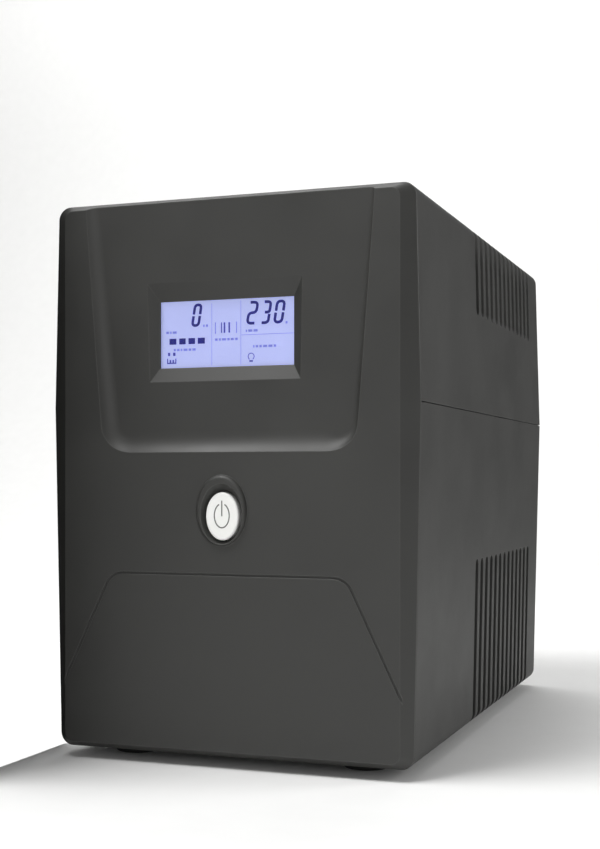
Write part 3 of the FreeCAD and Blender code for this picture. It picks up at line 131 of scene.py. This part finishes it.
def new_material(name, space="Object"):
    """A fresh material, its node tree, its main shader, and the place that its patterns follow."""
    material = bpy.data.materials.new(name)
    material.use_nodes = True
    tree = material.node_tree
    place = add(tree, "ShaderNodeTexCoord").outputs[space]
    return material, tree, tree.nodes["Principled BSDF"], place


def wire_up(tree, shader, links=(), **values):
    """Links outputs to the shader's sockets by name. Values the same all over are set, not linked."""
    for socket, output in dict(links).items():
        tree.links.new(output, shader.inputs[socket])
    for socket, value in values.items():
        shader.inputs[socket.replace("_", " ")].default_value = value


def dress(material, *names):
    """Gives CAD nodes a finish in place of the plain one they come with."""
    for name in names:
        slots = nodes[name].material_slots
        if not slots:
            nodes[name].data.materials.append(material)
        for slot in slots:
            slot.material = material
    print(material.name, "on", ", ".join(names))


print("mid grey #808080 is", round(linear("#808080")[0], 3), "in linear light")

# %% [markdown]
# ## Moulded plastic with a spark-eroded texture
# The case is ABS, injection moulded in a steel tool whose faces were roughened by spark erosion.
# The tool's tiny craters come out as a fine, even grain that makes black plastic look soft charcoal.
# A noise at the grain's size drives a bump, and a much larger, weaker noise shifts the colour and
# gloss a little, as handling does. Edges of a moulding are never sharp, so a Bevel node rounds the
# light on them, and the same node finds the edges, which are painted a lighter colour: partly rubbed
# wear, partly a painted highlight where light catches them.

# %% Textured ABS
ABS_IOR = 1.53
GRAIN_MM = 0.55  # the real grain is about 0.2 mm, and is drawn coarser so that it shows
GRAIN_HEIGHT = 0.00006
CLOUD_SCALE = 28  # of the slow change in colour and gloss, per metre
EDGE_MM = 0.35
DULL, BRIGHT = 0.90, 1.10  # how far the slow change takes the colour
WEAR_AND_SHEEN_SHARE = 0.45  # how much of the lighter edge colour, for rubbed wear and a painted highlight, shows on an edge
EDGE_LEAN = (0.995, 0.82)  # from flat ground to a full edge


def edge_mask(tree, edge_mm):
    """1 near an edge and 0 on flat ground: how far a rounded normal leans from the true one."""
    rounded = rounded_edge(tree, 1.6 * edge_mm)
    true = add(tree, "ShaderNodeNewGeometry").outputs["Normal"]
    lean = add(tree, "ShaderNodeVectorMath", {0: rounded, 1: true}, operation="DOT_PRODUCT")
    return remap(tree, lean.outputs["Value"], EDGE_LEAN, (0.0, 1.0))


def textured_abs(name, hex_colour, roughness, grain_mm=GRAIN_MM, depth=0.30, wear_and_sheen_colour="#6E6E6C"):
    material, tree, shader, place = new_material(name)
    grain = noise(tree, place, 1 / (grain_mm * MM), 3, 0.6)
    cloud = noise(tree, place, CLOUD_SCALE, 4, 0.55)
    normal = bump(tree, grain, depth, GRAIN_HEIGHT, rounded_edge(tree, EDGE_MM))
    share = remap(tree, cloud, MIDDLE_OF_NOISE, (0.0, 1.0))
    tint = blend(tree, share, shaded(hex_colour, DULL), shaded(hex_colour, BRIGHT))
    edge = edge_mask(tree, EDGE_MM)
    # Edges are painted lighter: partly rubbed wear, partly a painted highlight where light catches
    # them.
    wear_and_sheen_amount = add(tree, "ShaderNodeMath", {0: edge, 1: WEAR_AND_SHEEN_SHARE}, operation="MULTIPLY")
    colour = blend(tree, wear_and_sheen_amount.outputs[0], tint, linear(wear_and_sheen_colour))
    gloss = remap(tree, cloud, MIDDLE_OF_NOISE, (roughness - 0.05, roughness + 0.06))
    wire_up(tree, shader, {"Base Color": colour, "Roughness": gloss, "Normal": normal}, IOR=ABS_IOR)
    return material


CASE_GREY = "#30302E"
dress(textured_abs("case_textured_abs", CASE_GREY, 0.55), "lower_shell", "upper_cover")
dress(textured_abs("panel_textured_abs", CASE_GREY, 0.52), "front_panel")
dress(textured_abs("rear_panel_abs", "#2C2C2C", 0.5), "rear_panel")
dress(
    textured_abs("fan_black_pbt", "#17181A", 0.42, grain_mm=0.9, wear_and_sheen_colour="#3A3A3B"),
    "fan_frame", "fan_rotor",
)

# %% [markdown]
# ## Semi-gloss socket plastic
# Mains sockets are moulded in polyamide or ABS with a smoother tool, so they shine more than the
# case. The same recipe works, with less depth and a lower roughness. The feet's rubber is the
# opposite: nearly as dark, and dull all over.

# %% Sockets, breaker, jacks and feet
OUTLETS = ("outlet_lower_left", "outlet_lower_right", "outlet_upper_left", "outlet_upper_right")
dress(
    textured_abs("socket_polyamide", "#1B1B1C", 0.32, grain_mm=0.8, depth=0.12, wear_and_sheen_colour="#3C3C3D"),
    *OUTLETS, "mains_inlet", "data_line_jacks", "circuit_breaker", "breaker_reset_button",
    "switch_plunger", "tact_switch",
)
dress(textured_abs("feet_rubber", "#161616", 0.78, grain_mm=0.7, wear_and_sheen_colour="#2A2A2A"), "rubber_feet")

# %% [markdown]
# ## Metals
# Screws and the earth clips are steel under a thin plating. Plating follows the metal's own fine
# marks: a stretched noise stands for turning and rolling marks, and broader stains make it less
# even. The fan's finger guard is nickel-plated wire, which is smoother and warmer.

# %% Plated steel, brass and aluminium
STAIN_SCALE = 120
STAIN_SHADE = 0.82
MARK_HEIGHT = 0.00003
MARK_EDGE_MM = 0.15


def plated(name, hex_colour, roughness, mark_mm=0.3, stretch=(1, 8, 1), metal=1.0):
    material, tree, shader, place = new_material(name)
    squeezed = add(tree, "ShaderNodeMapping", {"Vector": place, "Scale": stretch}).outputs[0]
    marks = noise(tree, squeezed, 0.2 / (mark_mm * MM), 2)
    stains = noise(tree, place, STAIN_SCALE, 4)
    tint = blend(tree, stains, shaded(hex_colour, STAIN_SHADE), linear(hex_colour))
    gloss = remap(tree, marks, MIDDLE_OF_NOISE, (roughness * 0.7, roughness * 1.4))
    normal = bump(tree, marks, 0.25, MARK_HEIGHT, rounded_edge(tree, MARK_EDGE_MM))
    wire_up(tree, shader, {"Base Color": tint, "Roughness": gloss, "Normal": normal}, Metallic=metal)
    return material


dress(
    plated("zinc_plated_steel", "#B9BBBC", 0.32),
    "inlet_screws", "display_board_screws", "chassis_screws", "breaker_nut", "usb_port",
    "transformer_strap", "board_tray",
)
dress(plated("black_oxide_steel", "#1D1D1F", 0.38), "case_screws", "fan_screws")
dress(plated("nickel_plated_wire", "#C9C6BE", 0.16, stretch=(1, 1, 1)), "fan_guard")
dress(plated("nickel_plated_brass", "#C4BBA4", 0.22), "outlet_earth_clips", "inlet_pins")
dress(plated("gold_flashed_brass", "#D7B45A", 0.2), "jack_contacts", "battery_terminals")
dress(plated("extruded_aluminium", "#B8BBBE", 0.35, stretch=(1, 0.1, 1)), "heat_sinks")
dress(
    plated("varnished_laminations", "#4A4540", 0.45, mark_mm=0.5, stretch=(1, 6, 1), metal=0.6),
    "transformer_core",
)

# %% [markdown]
# ## What shows through the vents
# Behind the slots are the batteries, the transformer and the inverter board. They are seen only in
# slivers, but a flat colour would still look wrong there, so each gets a finish with its own soft
# mottling, at the size of the real thing, such as the flow marks of moulded plastic.

# %% Finishes inside the case
def mottled(name, hex_light, hex_dark, roughness, cell_mm):
    material, tree, shader, place = new_material(name)
    pattern = noise(tree, place, 1 / (cell_mm * MM), 4)
    tint = blend(tree, pattern, linear(hex_light), linear(hex_dark))
    gloss = remap(tree, pattern, MIDDLE_OF_NOISE, (roughness - 0.06, roughness + 0.08))
    normal = bump(tree, pattern, 0.15, 0.0001)
    wire_up(tree, shader, {"Base Color": tint, "Roughness": gloss, "Normal": normal})
    return material


# Each finish: light and dark colour, roughness, size of the mottling in mm, and what wears it.
INSIDE = {
    "battery_case_abs": (("#3A3C44", "#2B2D34", 0.45, 3.0), ("battery_left", "battery_right")),
    "closed_cell_foam": (("#2C2C2E", "#1C1C1E", 0.85, 0.8), ("foam_pads",)),
    "boot_red_pvc": (("#9A2018", "#7C1810", 0.45, 1.5), ("lead_boots",)),
    "lead_pvc": (("#8A1C16", "#6C140F", 0.4, 1.5), ("battery_leads", "transformer_leads")),
    "mains_lead_pvc": (("#5B3A22", "#4A2E1A", 0.4, 1.5), ("inlet_leads",)),
    "ribbon_pvc": (("#9A9C9E", "#7E8082", 0.5, 1.27), ("display_ribbon",)),
    "bobbin_nylon": (("#D8D2BE", "#C4BDA6", 0.5, 2.0), ("transformer_bobbin",)),
    "winding_tape": (("#C29A3A", "#A8822B", 0.35, 4.0), ("transformer_winding",)),
    "solder_resist": (("#1C5A34", "#15492A", 0.3, 1.0), ("main_board", "display_board")),
    "relay_blue": (("#2A4C86", "#203C6C", 0.4, 2.0), ("relays",)),
    "film_box_yellow": (("#B8902A", "#A07A20", 0.35, 2.0), ("film_capacitors",)),
    "fuse_green": (("#2C8A3C", "#226E30", 0.25, 2.0), ("blade_fuses",)),
    "nylon_natural": (("#D9D6CA", "#C7C3B5", 0.45, 2.0), ("board_connectors", "board_standoffs")),
    "epoxy_black": (("#202022", "#161618", 0.45, 0.8), ("power_transistors", "control_chips")),
    "capacitor_sleeve": (("#1C2338", "#141A2B", 0.28, 3.0), ("electrolytic_capacitors",)),
    "white_light_guide": (
        ("#E4E4E0", "#D6D6D2", 0.35, 3.0), ("lcd_frame", "lcd_backlight", "usb_tongue"),
    ),
}
for name, (recipe, wearers) in INSIDE.items():
    dress(mottled(name, *recipe), *wearers)

# %% [markdown]
# ## The display
# A liquid crystal display is a sandwich: a lit sheet behind, two panes of glass with dark segments
# between them, and a clear window in front. The lit sheet is a plate whose face glows a pale
# lavender, slightly brighter towards its edges, where the lamps are. The segments are thin flat
# meshes that sit just in front of it, so they stay crisp at any distance, which a texture wouldn't.

# %% Display materials
GLOW = 0.68
EDGE_GLOW, MIDDLE_GLOW = "#BCC2EA", "#A6ACD2"
INK = "#14157E"
INK_FAINT = "#7076B8"
INK_ICONS = "#3D3F9A"


def glowing(tree, shader, tint, strength, roughness):
    """The same tint for the colour and for the light it gives off."""
    links = {"Base Color": tint, "Emission Color": tint}
    wire_up(tree, shader, links, Emission_Strength=strength, Roughness=roughness)


def backlit_glass():
    material, tree, shader, place = new_material("backlit_display_glass", "Generated")
    inputs = {"Vector": place, "Location": (-0.5, -0.5, -0.5)}
    centred = add(tree, "ShaderNodeMapping", inputs).outputs[0]
    spread = add(tree, "ShaderNodeTexGradient", {"Vector": centred}, gradient_type="SPHERICAL")
    cloud = noise(tree, place, 3.0, 2)
    level = add(tree, "ShaderNodeMath", {0: spread.outputs["Fac"], 1: cloud}, operation="MULTIPLY")
    tint = blend(tree, level.outputs[0], linear(EDGE_GLOW), linear(MIDDLE_GLOW))
    glowing(tree, shader, tint, GLOW, 0.25)
    return material


def printed_ink(name, hex_colour, strength):
    """Dark segment: nearly opaque, with a trace of the backlight coming through."""
    material, tree, shader, place = new_material(name)
    bleed = noise(tree, place, 900, 2)
    tint = blend(tree, bleed, linear(hex_colour), shaded(hex_colour, 1.5))
    glowing(tree, shader, tint, strength, 0.3)
    return material


# %% Mesh helpers
def make_piece(name, mesh_bm, material, body):
    """Turns a bmesh into a piece that wears a material and rides on a body."""
    bmesh.ops.recalc_face_normals(mesh_bm, faces=mesh_bm.faces)
    mesh = bpy.data.meshes.new(name)
    mesh_bm.to_mesh(mesh)
    mesh_bm.free()
    mesh.materials.append(material)
    piece = bpy.data.objects.new(name, mesh)
    bpy.context.scene.collection.objects.link(piece)
    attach(piece, body)
    print(name, len(mesh.polygons), "faces")
    return piece


def prism(mesh_bm, outline, y_front, y_back):
    """A flat plate between two depths, from (x, z) corners."""
    front = [mesh_bm.verts.new((x, y_front, z)) for x, z in outline]
    back = [mesh_bm.verts.new((x, y_back, z)) for x, z in outline]
    mesh_bm.faces.new(front)
    mesh_bm.faces.new(back[::-1])
    count = len(outline)
    for i in range(count):
        j = (i + 1) % count
        mesh_bm.faces.new((front[i], front[j], back[j], back[i]))


def rounded_outline(x0, x1, z0, z1, radius, steps=6):
    """The corners of a rectangle with round corners, from the upper right one round to the left."""
    left, right, low, high = x0 + radius, x1 - radius, z0 + radius, z1 - radius
    points = []
    for cx, cz, start in ((right, high, 0), (left, high, 90), (left, low, 180), (right, low, 270)):
        for i in range(steps + 1):
            angle = math.radians(start + 90 * i / steps)
            points.append((cx + radius * math.cos(angle), cz + radius * math.sin(angle)))
    return points


# %% The lit sheet
cell_low, cell_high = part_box("lcd_glass")
SEGMENT_Y = cell_low.y + 0.02 * MM
INK_DEPTH = 0.05 * MM
SHEET_Y = cell_low.y + 0.10 * MM
SHEET_CORNER = 0.4 * MM
sheet_bm = bmesh.new()
sheet_outline = rounded_outline(cell_low.x, cell_high.x, cell_low.z, cell_high.z, SHEET_CORNER)
prism(sheet_bm, sheet_outline, SHEET_Y, cell_high.y)
lit_sheet = make_piece("lcd_lit_sheet", sheet_bm, backlit_glass(), "case")
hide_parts("lcd_glass")

# %% [markdown]
# The window in front of the display is clear acrylic. It shows mainly as a faint gloss over the
# screen, so it is a glass shader with acrylic's index of refraction and a little dust in its gloss.

# %% Window
ACRYLIC_IOR = 1.49


def clear_acrylic():
    material, tree, shader, place = new_material("clear_acrylic")
    dust = noise(tree, place, 400, 5)
    gloss = remap(tree, dust, (0.5, 0.8), (0.02, 0.12))
    wire_up(
        tree, shader, {"Roughness": gloss},
        Transmission_Weight=1.0, IOR=ACRYLIC_IOR, Base_Color=linear("#F4F6FF"),
    )
    return material


dress(clear_acrylic(), "display_window")

# %% [markdown]
# ## Segments
# The visible part of the screen is a little smaller than the glass. Every mark on it is placed as a
# fraction of that visible part, counted from its top left corner. The big figures are lines with
# rounded turns that lean to the right, and a flat strip follows each line.

# %% Places on the screen
SCREEN_W, SCREEN_H = 53.6 * MM, 24.9 * MM
screen_x = (cell_low.x + cell_high.x) / 2 - SCREEN_W / 2
screen_z = (cell_low.z + cell_high.z) / 2 + SCREEN_H / 2


def on_screen(u, v):
    return screen_x + u * SCREEN_W, screen_z - v * SCREEN_H


def bars(mesh_bm, *spans):
    """Upright blocks, each from (u0, u1, v0, v1)."""
    for u0, u1, v0, v1 in spans:
        corners = [(u0, v0), (u1, v0), (u1, v1), (u0, v1)]
        prism(mesh_bm, [on_screen(u, v) for u, v in corners], SEGMENT_Y, SEGMENT_Y + INK_DEPTH)


def round_off(corners, radius, steps=5):
    """The corners of an open line with each inner one replaced by an arc."""
    corners = [Vector(c) for c in corners]
    line = [corners[0]]
    for before, corner, after in zip(corners, corners[1:], corners[2:]):
        back, on = (before - corner).normalized(), (after - corner).normalized()
        reach = min(radius, (before - corner).length / 2, (after - corner).length / 2)
        for i in range(steps + 1):
            t = i / steps
            line.append(corner + back * reach * (1 - t) ** 2 + on * reach * t**2)
    return line + [corners[-1]]


def ribbon(mesh_bm, line, width, y_front, y_back):
    """A flat strip of even width along a line of (x, z) points."""
    rings = []
    for i, point in enumerate(line):
        along = (line[min(i + 1, len(line) - 1)] - line[max(i - 1, 0)]).normalized()
        side = Vector((-along.y, along.x)) * width / 2
        edges = (point + side, point - side)
        rings.append([mesh_bm.verts.new((p.x, y, p.y)) for y in (y_front, y_back) for p in edges])
    for near, far in zip(rings, rings[1:]):
        for a, b in ((0, 1), (1, 3), (3, 2), (2, 0)):
            mesh_bm.faces.new((near[a], near[b], far[b], far[a]))
    for ring in (rings[0], rings[-1]):
        mesh_bm.faces.new([ring[k] for k in (0, 1, 3, 2)])


print("the visible screen is", round(SCREEN_W / MM, 1), "by", round(SCREEN_H / MM, 1), "mm")

# %% Big figures and charge blocks
LEAN = 0.16  # how far a figure leans, sideways per unit of height
TURN = 0.55  # radius of a figure's turns, per unit of its width
FIGURE_STROKE = 1.05 * MM
FIGURE_TOP, FIGURE_FOOT = 0.035, 0.385
BLOCK_TOP, BLOCK_FOOT = 0.55, 0.64
# The lines that make up each figure, in a cell one wide and one high.
FIGURES = {
    "0": (((0, 0.54), (0, 1), (1, 1), (1, 0.54)), ((0, 0.46), (0, 0), (1, 0), (1, 0.46))),
    "2": (((0.05, 1), (1, 1), (1, 0.5), (0, 0.5), (0, 0), (0.95, 0)),),
    "3": (((0.05, 1), (1, 1), (1, 0.5), (0.3, 0.5)), ((1, 0.41), (1, 0), (0.05, 0))),
}


def figure(mesh_bm, digit, u0, u1):
    """One leaning figure with rounded turns."""
    x0, z1 = on_screen(u0, FIGURE_TOP)
    x1, z0 = on_screen(u1, FIGURE_FOOT)
    tall = z1 - z0 - FIGURE_STROKE
    wide = x1 - x0 - FIGURE_STROKE - LEAN * tall
    foot_x, foot_z = x0 + FIGURE_STROKE / 2, z0 + FIGURE_STROKE / 2
    for line in FIGURES[digit]:
        corners = [(foot_x + x * wide + LEAN * z * tall, foot_z + z * tall) for x, z in line]
        path = round_off(corners, TURN * wide)
        ribbon(mesh_bm, path, FIGURE_STROKE, SEGMENT_Y, SEGMENT_Y + INK_DEPTH)


ink = bmesh.new()
figure(ink, "0", 0.222, 0.312)
figure(ink, "2", 0.636, 0.735)
figure(ink, "3", 0.740, 0.832)
figure(ink, "0", 0.836, 0.932)
for u0, u1 in ((0.057, 0.110), (0.132, 0.181), (0.203, 0.253), (0.274, 0.328)):
    bars(ink, (u0, u1, BLOCK_TOP, BLOCK_FOOT))
make_piece("lcd_figures", ink, printed_ink("display_ink", INK, 0.25), "case")

# %% [markdown]
# The captions under the figures are words on the real screen. They are too small to read, so short
# dashes of different lengths stand for them. The little pictures are kept: a battery, a lamp for the
# load, and a box with bars for the mode.

# %% Thin rules and captions
DASH_H, DASH_GAP = 0.035, 0.009
# Each caption: where its first dash starts, and the dashes' lengths.
CAPTIONS = (
    (0.315, 0.355, (0.012, 0.016)),
    (0.032, 0.44, (0.02, 0.012, 0.03)),
    (0.09, 0.705, (0.016, 0.02, 0.012, 0.03, 0.02, 0.025)),
    (0.405, 0.57, (0.02, 0.015, 0.03, 0.018, 0.022, 0.02)),
    (0.635, 0.455, (0.01, 0.03, 0.03)),
    (0.928, 0.355, (0.014,)),
    (0.69, 0.69, (0.01, 0.018, 0.018, 0.03, 0.03, 0.018)),
)
faint = bmesh.new()
bars(
    faint,
    (0.379, 0.382, 0.04, 0.97),
    (0.597, 0.600, 0.02, 0.97),
    (0.604, 0.985, 0.528, 0.535),
)
for u, v, lengths in CAPTIONS:
    for length in lengths:
        bars(faint, (u, u + length, v, v + DASH_H))
        u += length + DASH_GAP
bars(faint, (0.405, 0.412, 0.33, 0.50), (0.563, 0.570, 0.33, 0.50))
faint_ink = printed_ink("display_ink_faint", INK_FAINT, 0.6)
make_piece("lcd_captions", faint, faint_ink, "case")

# %% Icons
LAMP_R, LAMP_LINE = 1.2 * MM, 0.3 * MM
LAMP_PLACE = (0.675, 0.855)
LAMP_START_DEG, LAMP_STEP_DEG, LAMP_STEPS = -60, 15, 20
icons = bmesh.new()
# The battery's two posts, its open case and the two plates inside.
bars(
    icons,
    (0.045, 0.062, 0.76, 0.81),
    (0.085, 0.103, 0.76, 0.81),
    (0.038, 0.046, 0.85, 0.93),
    (0.102, 0.110, 0.85, 0.93),
    (0.046, 0.102, 0.91, 0.93),
    (0.058, 0.070, 0.87, 0.91),
    (0.080, 0.092, 0.87, 0.91),
)
# The bars of the mode sign.
bars(
    icons,
    (0.450, 0.458, 0.335, 0.49),
    (0.470, 0.482, 0.335, 0.49),
    (0.506, 0.518, 0.335, 0.49),
)
# The lamp: a round bulb, open at the foot, over a short base.
lamp_middle = Vector(on_screen(*LAMP_PLACE))
turns = [math.radians(LAMP_START_DEG + LAMP_STEP_DEG * i) for i in range(LAMP_STEPS + 1)]
lamp = [lamp_middle + Vector((math.cos(a), math.sin(a))) * LAMP_R for a in turns]
ribbon(icons, lamp, LAMP_LINE, SEGMENT_Y, SEGMENT_Y + INK_DEPTH)
bars(icons, (0.662, 0.688, 0.91, 0.935))
icon_ink = printed_ink("display_ink_icons", INK_ICONS, 0.4)
make_piece("lcd_icons", icons, icon_ink, "case")

# %% [markdown]
# ## The power button
# The button is a satin white moulding in the middle of a raised ring. The symbol on it is printed:
# a ring open at the top with an upright bar through the gap. It is made as a very thin mesh that
# sits on the cap and rides with it, so it moves in when the button is pressed.

# %% Button cap
def satin_white_abs():
    material, tree, shader, place = new_material("satin_white_abs")
    grain = noise(tree, place, 1 / (0.5 * MM), 2)
    cloud = noise(tree, place, 180, 3)
    tint = blend(tree, cloud, linear("#FCFCFA"), linear("#F4F4F1"))
    normal = bump(tree, grain, 0.08, 0.00003, rounded_edge(tree, 0.3))
    gloss = remap(tree, cloud, MIDDLE_OF_NOISE, (0.28, 0.38))
    wire_up(tree, shader, {"Base Color": tint, "Roughness": gloss, "Normal": normal}, IOR=ABS_IOR)
    return material


dress(satin_white_abs(), "power_button")

# %% Printed symbol
cap_low, cap_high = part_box("power_button")
SYMBOL_HALF_W, SYMBOL_HALF_H = 2.95 * MM, 4.4 * MM  # of the ring, to the middle of its line
SYMBOL_LIFT = 0.2 * MM
SYMBOL_LINE = 0.46 * MM
SYMBOL_Y = (cap_low.y - 0.03 * MM, cap_low.y + 0.02 * MM)
GAP_HALF_DEG = 21
BAR_TOP, BAR_FOOT = 5.7 * MM, 0.0
RING_STEPS = 48
button_x, button_z = (cap_low.x + cap_high.x) / 2, (cap_low.z + cap_high.z) / 2
ring_deg = 360 - 2 * GAP_HALF_DEG
ring_line = []
for i in range(RING_STEPS + 1):
    a = math.radians(90 + GAP_HALF_DEG + ring_deg * i / RING_STEPS)
    x = button_x + SYMBOL_HALF_W * math.cos(a)
    z = button_z + SYMBOL_LIFT + SYMBOL_HALF_H * math.sin(a)
    ring_line.append(Vector((x, z)))
bar_line = [Vector((button_x, button_z + z)) for z in (BAR_FOOT, BAR_TOP)]
symbol = bmesh.new()
ribbon(symbol, ring_line, SYMBOL_LINE, *SYMBOL_Y)
ribbon(symbol, bar_line, SYMBOL_LINE, *SYMBOL_Y)
symbol_print = mottled("pad_printed_grey", "#6E6E6C", "#626260", 0.45, 0.8)
make_piece("button_symbol", symbol, symbol_print, "button")

# %% [markdown]
# ## Floor, light and camera
# A plain pale floor that curves up into a backdrop. The main light is a soft box high up in front,
# a little to the left. It catches the bevel along the top and the cove under the display, and only
# grazes the face. A black card close to the left edge takes the light away there, so the left bevel
# is dark and the face grows lighter to the right. A second card keeps the bright backdrop out of the
# right side's reflection, and a weak soft box gives that side its tone instead.

# %% Floor
FLOOR_HALF, SWEEP_START, SWEEP_R, WALL_TOP = 3.0, 1.0, 0.8, 3.0
SWEEP_STEPS = 12


def faintly_mottled(name, scale, detail, hex_light, hex_dark, roughness):
    """A dull surface with nothing but a faint change of shade."""
    material, tree, shader, place = new_material(name)
    fibre = noise(tree, place, scale, detail)
    tint = blend(tree, fibre, linear(hex_light), linear(hex_dark))
    wire_up(tree, shader, {"Base Color": tint}, Roughness=roughness)
    return material


def stage_mesh(name, mesh_bm, material):
    """Turns a bmesh into a part of the set."""
    mesh = bpy.data.meshes.new(name)
    mesh_bm.to_mesh(mesh)
    mesh_bm.free()
    mesh.materials.append(material)
    item = bpy.data.objects.new(name, mesh)
    bpy.context.scene.collection.objects.link(item)
    print(name, len(mesh.polygons), "faces")
    return item


profile = [(-FLOOR_HALF, 0.0), (SWEEP_START, 0.0)]
for i in range(1, SWEEP_STEPS + 1):
    a = math.radians(90 * i / SWEEP_STEPS)
    profile.append((SWEEP_START + SWEEP_R * math.sin(a), SWEEP_R * (1 - math.cos(a))))
profile.append((SWEEP_START + SWEEP_R, WALL_TOP))
floor_bm = bmesh.new()
strip = [[floor_bm.verts.new((x, y, z)) for x in (-FLOOR_HALF, FLOOR_HALF)] for y, z in profile]
for lower, upper in zip(strip, strip[1:]):
    floor_bm.faces.new((lower[0], lower[1], upper[1], upper[0]))
paper = faintly_mottled("studio_paper", 60, 5, "#F6F6F5", "#F1F1F0", 0.8)
floor = stage_mesh("floor", floor_bm, paper)
for polygon in floor.data.polygons:
    polygon.use_smooth = True
floor.location.z = cad_box[0][2]

# %% Lights
def soft_box(name, place, aim, size, power):
    light = bpy.data.lights.new(name, "AREA")
    light.shape = "RECTANGLE"
    light.size, light.size_y = size
    light.energy = power
    light.color = (1.0, 1.0, 1.0)
    lamp = bpy.data.objects.new(name, light)
    lamp.location = place
    lamp.rotation_euler = (Vector(aim) - Vector(place)).to_track_quat("-Z", "Y").to_euler()
    bpy.context.scene.collection.objects.link(lamp)
    print(name, power, "W")


MIDDLE = (0, 0, 0.10)
soft_box("overhead", (-0.3, -0.4, 1.0), (0, -0.12, 0.1), (0.5, 0.5), 10)
soft_box("front_fill", (0.35, -1.4, 0.3), MIDDLE, (0.8, 0.8), 2.5)
soft_box("side_light", (0.9, 0.45, 0.4), MIDDLE, (0.5, 0.7), 5.5)
soft_box("backdrop_light", (-0.5, 0.7, 1.9), (-0.7, 1.8, 0.5), (1.6, 0.4), 26)

world = bpy.data.worlds.new("studio")
bpy.context.scene.world = world
world.use_nodes = True
sky = world.node_tree.nodes["Background"]
sky.inputs["Color"].default_value = linear("#FFFFFF")
sky.inputs["Strength"].default_value = 0.3

# %% Black cards
CARD_GAP = 0.007  # from the case's left side
CARD_FRONT, CARD_BACK = 0.053, 0.025  # before and behind the case's front
CARD_TOP = 0.24
REAR_Y = 0.55
REAR_LEFT, REAR_RIGHT, REAR_TOP = 0.12, 1.3, 1.0


def black_card(name, material, corners):
    """A card that shades and reflects dark, but isn't seen itself."""
    mesh_bm = bmesh.new()
    mesh_bm.faces.new([mesh_bm.verts.new(corner) for corner in corners])
    card = stage_mesh(name, mesh_bm, material)
    card.visible_camera = False


felt = faintly_mottled("black_felt", 800, 3, "#1A1A1A", "#101010", 1.0)
card_x = cad_box[0][0] - CARD_GAP
card_y0, card_y1 = cad_box[0][1] - CARD_FRONT, cad_box[0][1] + CARD_BACK
left_corners = ((card_y0, 0), (card_y1, 0), (card_y1, CARD_TOP), (card_y0, CARD_TOP))
black_card("left_card", felt, [(card_x, y, z) for y, z in left_corners])
rear_corners = ((REAR_LEFT, 0), (REAR_RIGHT, 0), (REAR_RIGHT, REAR_TOP), (REAR_LEFT, REAR_TOP))
black_card("rear_card", felt, [(x, REAR_Y, z) for x, z in rear_corners])

# %% Camera
CAMERA_TURN = math.radians(19.97)
FACE_DISTANCE = 455.08 * MM
SIDE_OFFSET = 194.55 * MM
BELOW_TOP = 104.06 * MM
RING_STANDS_OUT = 1.6 * MM  # the button's ring, in front of the panel's face
panel_low, panel_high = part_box("front_panel")
face_y = panel_low.y + RING_STANDS_OUT
camera_data = bpy.data.cameras.new("camera")
camera_data.lens = 57.3
camera_data.sensor_width = 36
camera_data.shift_y = 0.0625
camera = bpy.data.objects.new("camera", camera_data)
camera.location = (SIDE_OFFSET, face_y - FACE_DISTANCE, panel_high.z - BELOW_TOP)
camera.rotation_euler = (math.radians(90), 0, CAMERA_TURN)
bpy.context.scene.collection.objects.link(camera)
bpy.context.scene.camera = camera
bpy.context.scene.view_settings.view_transform = "Standard"
print("camera at", [round(v, 3) for v in camera.location])
